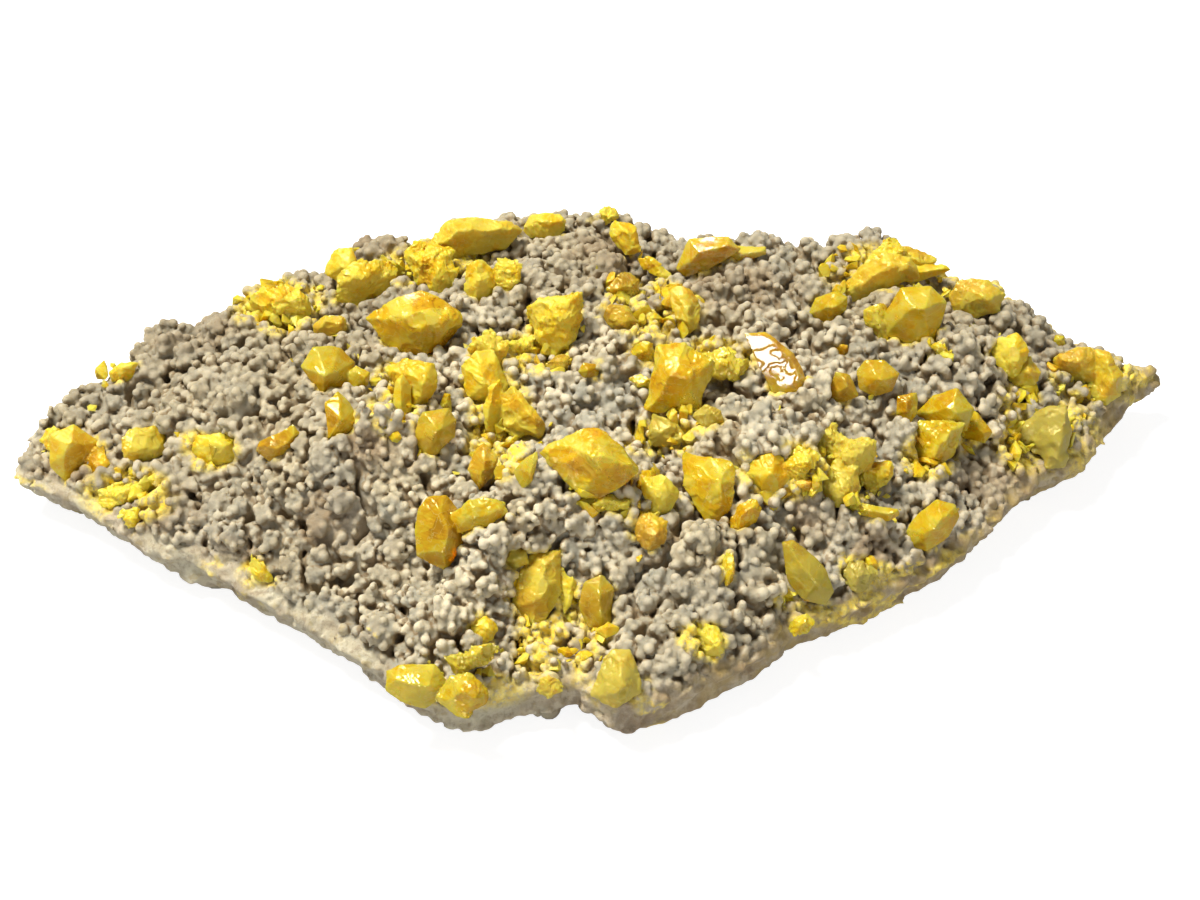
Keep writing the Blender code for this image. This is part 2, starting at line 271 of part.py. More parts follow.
def crystal_planes(spec):
    """A crystal's centre, its size across, and its faces as outward planes."""
    corners = np.array([(c[0], c[1]) for c in spec[2]], float)
    turn = [math.radians(c[2]) for c in spec[2]]
    lean, front, back, stand = spec[3], spec[4], spec[5], spec[6]
    # corners are kept anticlockwise as seen by the viewer
    flat = np.stack([corners[:, 0], -corners[:, 1]], axis=1)
    nxt = np.roll(flat, -1, axis=0)
    cross = flat[:, 0] * nxt[:, 1] - nxt[:, 0] * flat[:, 1]
    area = cross.sum() / 2.0
    mid = ((flat + nxt) * cross[:, None]).sum(axis=0) / (6.0 * area)
    u, v = mid[0], -mid[1]
    if isinstance(stand, tuple):
        # set beside another crystal of its group, so far out from it
        other = next(c for c in CRYSTALS if c[0] == stand[0])
        level = (crystal_planes(other)[0] - MIDDLE).dot(S_OUT) + stand[1]
        ray = S_RIGHT * (u - 600.0) / FOCAL + S_UP * (450.0 - v) / FOCAL - S_OUT
        far = SIGHT_AWAY - level
        centre = EYE + ray * far
    else:
        tall = (corners[:, 1].max() - corners[:, 1].min()) * GRID
        centre, ray, far = follow_sight(u, v, tall * stand, crust_top)
    scale = GRID * far / SIGHT_AWAY
    right, up, out = sight_frame(u, v)
    size = math.sqrt(abs(area)) * scale
    local = (flat - mid) * scale * MEET.get(spec[1], 1.0)
    sign = 1.0 if area > 0 else -1.0
    planes = []
    for i in range(len(local)):
        p, q = local[i], local[(i + 1) % len(local)]
        e2 = (q - p) / np.linalg.norm(q - p)
        n2 = np.array([e2[1], -e2[0]]) * sign
        at = right * p[0] + up * p[1] + out * (lean[0] * p[0] + lean[1] * p[1])
        along = right * e2[0] + up * e2[1] + out * (lean[0] * e2[0] + lean[1] * e2[1])
        along = along / np.linalg.norm(along)
        flat_n = right * n2[0] + up * n2[1]
        for angle in (turn[i], -math.radians(30.0)):
            n = flat_n * math.cos(angle) + out * math.sin(angle)
            n = n - along * n.dot(along)
            n = n / np.linalg.norm(n)
            planes.append((n, n.dot(centre + at)))
    for n, share in ((out, front), (-out, back)):
        n = n + 0.25 * (right * lean[0] + up * lean[1]) * (1 if n is out else -1)
        n = n / np.linalg.norm(n)
        planes.append((n, n.dot(centre) + 1.25 * size * share))
    return centre, size, planes


# ------------------------------------------------------------------ helpers
def clear_scene():
    for old in list(bpy.data.objects):
        bpy.data.objects.remove(old, do_unlink=True)


def new_collection(name):
    made = bpy.data.collections.new(name)
    bpy.context.scene.collection.children.link(made)
    return made


def material(name, colour, roughness, transmission=0.0, ior=1.5):
    made = bpy.data.materials.new(name)
    made.use_nodes = True
    shader = made.node_tree.nodes["Principled BSDF"]
    shader.inputs["Base Color"].default_value = (*colour, 1.0)
    shader.inputs["Roughness"].default_value = roughness
    shader.inputs["Metallic"].default_value = 0.0
    shader.inputs["Transmission Weight"].default_value = transmission
    shader.inputs["IOR"].default_value = ior
    return made


def add_object(name, mesh, collection, helper=False):
    made = bpy.data.objects.new(name, mesh)
    collection.objects.link(made)
    if helper:
        made.hide_render = True
        made.display_type = "WIRE"
    return made


def evaluated_mesh(obj, name):
    bpy.context.view_layer.update()
    graph = bpy.context.evaluated_depsgraph_get()
    return bpy.data.meshes.new_from_object(obj.evaluated_get(graph), depsgraph=graph, preserve_all_data_layers=False)


def cut_away(bm, point, normal, near):
    """Cuts a closed mesh with a plane, drops what lies outside, closes the cut.
    Points closer than `near` to the plane count as on it."""
    bmesh.ops.bisect_plane(
        bm, geom=bm.verts[:] + bm.edges[:] + bm.faces[:], dist=near,
        plane_co=point, plane_no=normal, clear_outer=True,
    )
    rim = [e for e in bm.edges if e.is_boundary]
    if rim:
        bmesh.ops.contextual_create(bm, geom=rim)
    loose = [v for v in bm.verts if not v.link_faces]
    bmesh.ops.delete(bm, geom=loose, context="VERTS")


# ----------------------------------------------------------------- crystals
def crystal_mesh(name, spec, grow=0.0):
    """A block cleaved along each of the crystal's faces, in mm round its
    centre, then set in its place."""
    centre, size, planes = crystal_planes(spec)
    bm = bmesh.new()
    bmesh.ops.create_cube(bm, size=size * 6.0)
    for normal, offset in planes:
        reach = offset - normal.dot(centre) + grow
        cut_away(bm, Vector(normal * reach), Vector(normal), 2e-4)
    bmesh.ops.remove_doubles(bm, verts=bm.verts[:], dist=2e-3)
    bmesh.ops.dissolve_degenerate(bm, edges=bm.edges[:], dist=2e-3)
    bmesh.ops.recalc_face_normals(bm, faces=bm.faces[:])
    bmesh.ops.scale(bm, verts=bm.verts[:], vec=(MM, MM, MM))
    bmesh.ops.translate(bm, verts=bm.verts[:], vec=Vector(centre * MM))
    mesh = bpy.data.meshes.new(name)
    bm.to_mesh(mesh)
    bm.free()
    return mesh


def build_crystals(parts, helpers, looks):
    sockets = new_collection("sockets")
    groups = {}
    for spec in CRYSTALS:
        groups.setdefault(spec[1], []).append(spec)
        add_object("socket_" + spec[0], crystal_mesh("socket_" + spec[0], spec, SOCKET_GAP), sockets, True)
    for node, members in groups.items():
        first = add_object(node, crystal_mesh(node, members[0]), parts)
        first.data.materials.append(looks[members[0][7]])
        for spec in members[1:]:
            twin = add_object("grown_" + spec[0], crystal_mesh("grown_" + spec[0], spec), helpers, True)
            join = first.modifiers.new("grown with " + spec[0], "BOOLEAN")
            join.operation = "UNION"
            join.solver = "EXACT"
            join.object = twin
    return sockets


# ------------------------------------------------------------------- matrix
def plate_blank(helpers):
    """The outline as a flat curve, extruded and remeshed to an even blank."""
    curve = bpy.data.curves.new("plate_outline", "CURVE")
    curve.dimensions = "2D"
    curve.fill_mode = "BOTH"
    curve.extrude = PRISM_HEIGHT / 2.0 * MM
    run = curve.splines.new("POLY")
    run.points.add(len(RING) - 1)
    for point, (x, y) in zip(run.points, RING):
        point.co = (x * MM, y * MM, 0.0, 1.0)
    run.use_cyclic_u = True
    guide = add_object("plate_outline", curve, helpers)
    flat = evaluated_mesh(guide, "blank")
    bpy.data.objects.remove(guide, do_unlink=True)
    bm = bmesh.new()
    bm.from_mesh(flat)
    bmesh.ops.remove_doubles(bm, verts=bm.verts[:], dist=1e-6)
    bmesh.ops.recalc_face_normals(bm, faces=bm.faces[:])
    bm.to_mesh(flat)
    bm.free()
    blank = add_object("blank", flat, helpers)
    remesh = blank.modifiers.new("even", "REMESH")
    remesh.mode = "VOXEL"
    remesh.voxel_size = VOXEL * MM
    even = evaluated_mesh(blank, "even")
    bpy.data.objects.remove(blank, do_unlink=True)
    return even


def shape_plate(mesh):
    """Moves the blank's points onto the plate: its crust, its knolls and
    hollows, the broken sides that stand in below, and the foot."""
    count = len(mesh.vertices)
    co = np.empty(count * 3, np.float32)
    mesh.vertices.foreach_get("co", co)
    p = co.reshape(-1, 3).astype(float) / MM
    x, y = p[:, 0], p[:, 1]
    share = (p[:, 2] + PRISM_HEIGHT / 2.0) / PRISM_HEIGHT
    d = inset_from_edge(x, y)
    step = 0.5
    gx = inset_from_edge(x + step, y) - inset_from_edge(x - step, y)
    gy = inset_from_edge(x, y + step) - inset_from_edge(x, y - step)
    length = np.maximum(np.hypot(gx, gy), 1e-6)
    gx, gy = gx / length, gy / length
    top = crust_top(x, y, np.maximum(d, 0.0)) - CRUST_CLEAR - 2.0 * (1.0 - ease(0.0, 4.0, d))
    z = share * top + np.where(share < 0.02, -1.0, 0.0)
    ledges = 0.9 * np.sin(0.21 * x + 0.9 * z) * np.sin(0.17 * y - 0.5 * z + 1.0)
    move = (wall_inset(z) + ledges * ease(0.0, 6.0, z)) * (1.0 - ease(0.0, 14.0, d))
    p[:, 0] = (x + gx * move) * tip_draw(z)
    p[:, 1] = y + gy * move
    p[:, 2] = z
    mesh.vertices.foreach_set("co", (p * MM).astype(np.float32).ravel())
    mesh.update()


def keep_one_body(mesh):
    """Drops the crumbs that sockets cut loose, and keeps the plate."""
    bm = bmesh.new()
    bm.from_mesh(mesh)
    bmesh.ops.remove_doubles(bm, verts=bm.verts[:], dist=1e-6)
    unseen = set(bm.verts)
    islands = []
    while unseen:
        island = [unseen.pop()]
        for vert in island:
            for edge in vert.link_edges:
                other = edge.other_vert(vert)
                if other in unseen:
                    unseen.discard(other)
                    island.append(other)
        islands.append(island)
    islands.sort(key=len)
    for island in islands[:-1]:
        bmesh.ops.delete(bm, geom=island, context="VERTS")
    bmesh.ops.dissolve_degenerate(bm, edges=bm.edges[:], dist=1e-6)
    bm.to_mesh(mesh)
    bm.free()


def build_matrix(parts, helpers, sockets, look):
    mesh = plate_blank(helpers)
    shape_plate(mesh)
    rough = add_object("rough_plate", mesh, helpers)
    again = rough.modifiers.new("even again", "REMESH")
    again.mode = "VOXEL"
    again.voxel_size = VOXEL * 0.75 * MM
    mesh = evaluated_mesh(rough, "rough_plate")
    bpy.data.objects.remove(rough, do_unlink=True)
    rough = add_object("rough_plate", mesh, helpers)
    fewer = rough.modifiers.new("fewer", "DECIMATE")
    fewer.ratio = PLATE_FACES / (2.0 * len(mesh.polygons))
    mesh = evaluated_mesh(rough, "plate")
    bpy.data.objects.remove(rough, do_unlink=True)
    bm = bmesh.new()
    bm.from_mesh(mesh)
    cut_away(bm, Vector((0.0, 0.0, 0.0)), Vector((0.0, 0.0, -1.0)), 1e-6)
    bmesh.ops.triangulate(bm, faces=[f for f in bm.faces if len(f.verts) > 4])
    bmesh.ops.recalc_face_normals(bm, faces=bm.faces[:])
    bm.to_mesh(mesh)
    bm.free()
    plate = add_object("plate", mesh, helpers)
    carve = plate.modifiers.new("sockets", "BOOLEAN")
    carve.operation = "DIFFERENCE"
    carve.solver = "EXACT"
    carve.operand_type = "COLLECTION"
    carve.collection = sockets
    mesh = evaluated_mesh(plate, "matrix")
    bpy.data.objects.remove(plate, do_unlink=True)
    keep_one_body(mesh)
    mesh.materials.clear()
    mesh.materials.append(look)
    return add_object("matrix", mesh, parts)


def main():
    clear_scene()
    parts = new_collection("native_sulfur_crystals")
    helpers = new_collection("helpers")
    looks = {
        "gem": material("sulfur_gem", (0.78, 0.50, 0.04), 0.15, 0.6, 1.96),
        "broken": material("sulfur_broken", (0.80, 0.52, 0.06), 0.30, 0.4, 1.96),
        "etched": material("sulfur_etched", (0.76, 0.58, 0.10), 0.40, 0.3, 1.96),
        "ragged": material("sulfur_ragged", (0.82, 0.66, 0.10), 0.40, 0.2, 1.96),
    }
    stone = material("knobbly_crust", (0.50, 0.45, 0.36), 0.75)
    sockets = build_crystals(parts, helpers, looks)
    build_matrix(parts, helpers, sockets, stone)


main()
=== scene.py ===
"""Native sulfur crystals on knobbly aragonite crust over a limestone plate:
the finished surfaces, materials, light and camera."""
import json
import math
import time
from concurrent.futures import ThreadPoolExecutor

import bmesh
import bpy
import numpy as np
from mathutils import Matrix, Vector


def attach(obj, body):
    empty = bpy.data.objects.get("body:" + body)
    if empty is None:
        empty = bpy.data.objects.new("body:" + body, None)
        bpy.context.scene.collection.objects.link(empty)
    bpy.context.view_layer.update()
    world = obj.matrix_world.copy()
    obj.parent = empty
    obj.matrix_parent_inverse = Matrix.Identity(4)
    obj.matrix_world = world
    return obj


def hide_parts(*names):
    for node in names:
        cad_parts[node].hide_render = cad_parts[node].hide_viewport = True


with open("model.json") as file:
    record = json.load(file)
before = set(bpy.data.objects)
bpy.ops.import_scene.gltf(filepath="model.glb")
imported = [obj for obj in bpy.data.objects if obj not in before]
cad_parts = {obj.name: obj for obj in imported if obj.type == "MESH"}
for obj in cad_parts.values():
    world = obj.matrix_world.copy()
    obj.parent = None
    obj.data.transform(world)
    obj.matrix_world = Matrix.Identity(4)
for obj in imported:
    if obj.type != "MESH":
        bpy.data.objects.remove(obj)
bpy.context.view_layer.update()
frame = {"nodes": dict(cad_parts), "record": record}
STARTED = time.perf_counter()
MM = 0.001


def say(words):
    print("%6.1f s  %s" % (time.perf_counter() - STARTED, words), flush=True)


# ---------------------------------------------------------------- the plate
# The specimen is described on its display drawing: a grid of 1200 x 900 units
# of about 0.185 mm, looked at from the front and 42 degrees above.  Points of
# the drawing are brought onto the plate by following the line of sight down
# to its surface.
SIGHT_RISE = math.radians(42.0)
SIGHT_AWAY = 560.0          # mm from the eye to the middle of the plate
GRID = 0.185                # mm a unit there
FOCAL = SIGHT_AWAY / GRID
S_RIGHT = np.array([1.0, 0.0, 0.0])
S_UP = np.array([0.0, math.sin(SIGHT_RISE), math.cos(SIGHT_RISE)])
S_OUT = np.array([0.0, -math.cos(SIGHT_RISE), math.sin(SIGHT_RISE)])
MIDDLE = np.array([1.2, 3.6, 14.0])
EYE = MIDDLE + S_OUT * SIGHT_AWAY

# Outline of the plate at its widest level, mm, anticlockwise from the left tip.
OUTLINE = [
    (-107, 5.5), (-99, 1), (-87, -8), (-77, -16.5), (-72, -18), (-60.5, -27.5),
    (-50, -35.5), (-41, -43), (-29, -53), (-21, -55.5), (-14, -52), (-8, -51.5),
    (-3, -49.5), (5, -55.5), (12, -54.5), (23, -48), (31, -41.5), (37.5, -35.5),
    (44, -33), (59, -23.5), (66.5, -16.5), (71, -12), (82, 2), (90, 5.5),
    (94.5, 13), (102.5, 24.5), (108, 30), (102, 29.5), (94, 31), (89, 32.5),
    (86, 36), (81, 38), (76, 40.5), (68, 42.5), (59, 48.5), (53.5, 51.5),
    (44.5, 48.5), (37.5, 49.5), (27, 51.5), (17, 51.5), (8, 56.5), (-1, 59.5),
    (-12, 59), (-20, 57.5), (-28, 57), (-33, 50.5), (-40, 51.5), (-46, 49.5),
    (-51, 42.5), (-58, 41.5), (-64, 38.5), (-72, 35.5), (-76, 33.5), (-81, 35),
    (-85, 33.5), (-85, 30.5), (-87, 28), (-87, 25.5), (-92, 23.5), (-97.5, 21.5),
    (-101.5, 18), (-104, 15), (-105.5, 10),
]

# Knolls and hollows of the crust: drawing position, radius and height in mm.
KNOLLS = [
    (375, 243, 6, 3.0), (166, 330, 6, 3.0), (196, 326, 6, 2.5), (228, 338, 6, 2.0),
    (335, 520, 16, 4.5), (385, 452, 10, 5.0), (480, 530, 7, 4.0), (520, 502, 7, 3.5),
    (600, 525, 8, 4.5), (560, 512, 7, 3.0), (600, 395, 9, 4.5), (592, 330, 7, 4.5),
    (480, 318, 6, 2.5), (520, 292, 7, 2.5), (602, 258, 8, 4.0), (740, 292, 11, 3.0),
    (850, 254, 8, 3.0), (790, 402, 7, 3.0), (700, 437, 8, 2.5), (762, 450, 7, 3.0),
    (820, 512, 9, 5.5), (880, 545, 10, 5.5), (700, 590, 12, 3.0), (760, 600, 9, 3.0),
    (650, 622, 7, 2.5), (161, 506, 8, 4.0), (225, 552, 9, 3.0), (940, 362, 10, 2.0),
    (980, 392, 8, 2.5), (1015, 328, 8, 2.5), (925, 482, 9, 2.5), (286, 500, 9, 2.5),
    (330, 600, 10, 2.5), (430, 640, 9, 2.5), (640, 670, 9, 2.0), (1010, 470, 8, 2.0),
    (248, 390, 12, 1.5), (300, 425, 6, 2.0), (560, 440, 6, 1.5), (742, 545, 7, 2.5),
    (1128, 374, 6, 1.5), (100, 420, 9, 1.5),
    (372, 562, 9, -4.0), (690, 505, 7, -4.0), (520, 432, 7, -4.0), (640, 442, 7, -3.0),
    (700, 462, 6, -3.0), (590, 415, 6, -2.0), (872, 500, 6, -3.0), (778, 540, 6, -4.0),
    (640, 562, 9, -3.5), (400, 478, 6, -3.0), (600, 553, 7, -3.5), (545, 590, 10, -4.5),
    (470, 430, 7, -3.0), (395, 330, 8, -1.5), (715, 330, 8, -2.5), (560, 360, 7, -2.5),
    (440, 560, 7, -3.0), (300, 400, 7, -2.0), (960, 450, 8, -2.5), (840, 350, 7, -2.0),
    (205, 480, 7, -2.0), (470, 480, 6, -3.0), (1000, 415, 7, -2.0), (900, 345, 7, -1.5),
]


def ease(a, b, v):
    t = np.clip((v - a) / (b - a), 0.0, 1.0)
    return t * t * (3.0 - 2.0 * t)


def outline_points(steps=3):
    """The outline as a closed run of points on a smooth curve (Catmull-Rom)."""
    ring = np.array(OUTLINE, float)
    p0, p1, p2, p3 = (np.roll(ring, k, axis=0) for k in (1, 0, -1, -2))
    rows = []
    for i in range(steps):
        t = i / steps
        rows.append(0.5 * (2 * p1 + (p2 - p0) * t + (2 * p0 - 5 * p1 + 4 * p2 - p3) * t * t
                           + (3 * p1 - p0 - 3 * p2 + p3) * t ** 3))
    return np.stack(rows, axis=1).reshape(-1, 2)


RING = outline_points()


def inset_from_edge(x, y):
    """Distance in mm from the outline, positive inside it, for arrays of points."""
    x = np.asarray(x, float)
    y = np.asarray(y, float)
    best = np.full(x.shape, 1e9)
    inside = np.zeros(x.shape, bool)
    for (ax, ay), (bx, by) in zip(RING, np.roll(RING, -1, axis=0)):
        ex, ey = bx - ax, by - ay
        wx, wy = x - ax, y - ay
        t = np.clip((wx * ex + wy * ey) / (ex * ex + ey * ey), 0.0, 1.0)
        best = np.minimum(best, (wx - ex * t) ** 2 + (wy - ey * t) ** 2)
        if ay != by:
            inside ^= ((ay > y) != (by > y)) & (x < ax + ex * (y - ay) / (by - ay))
    return np.where(inside, 1.0, -1.0) * np.sqrt(best)


def plain_top(x, y, d):
    """Height of the plate's top before its knolls: thin at the front rim and
    the two tips, thickest along the back."""
    back = ease(-8.0, 47.0, y)
    ends = ease(60.0, 108.0, np.abs(x))
    rim = 11.0 + (17.0 * back * (1.0 - 0.7 * ends)
                  + 3.0 * ease(-3.0, 17.0, y) * ease(-70.0, -90.0, x))
    crown = 27.5 + 3.5 * back - 9.0 * ends
    return rim + (crown - rim) * ease(0.0, 32.0, d)


def follow_sight(u, v, lift, top):
    """Where the line of sight through (u, v) comes within `lift` of the top."""
    ray = S_RIGHT * (u - 600.0) / FOCAL + S_UP * (450.0 - v) / FOCAL - S_OUT
    t = np.arange(440.0, 680.0, 0.2)
    p = EYE[:, None] + ray[:, None] * t
    below = p[2] - lift <= top(p[0], p[1], inset_from_edge(p[0], p[1]))
    k = int(np.argmax(below)) if below.any() else int(np.argmin(np.abs(p[2] - lift)))
    return p[:, k], ray, t[k]


KNOLL_SPOTS = [
    (*follow_sight(u, v, 0.0, plain_top)[0][:2], r, h) for u, v, r, h in KNOLLS
]


def crust_top(x, y, d):
    """Height of the plate's top with its knolls and hollows."""
    z = plain_top(x, y, d)
    for kx, ky, r, h in KNOLL_SPOTS:
        q = ((x - kx) ** 2 + (y - ky) ** 2) / (r * r)
        z = z + h * np.exp(-0.9 * q) * ease(-1.0, 6.0, d)
    return z


def wall_inset(z):
    """How far the broken side stands in from the outline at height z."""
    return 5.6 * (1.0 - ease(0.0, 4.0, z)) + 0.10 * np.clip(z - 6.0, 0.0, None) - 0.9


def tip_draw(z):
    """The two tips overhang: a level's length as a share of the outline's."""
    return 1.0 - 0.085 * (1.0 - ease(0.0, 9.0, z))


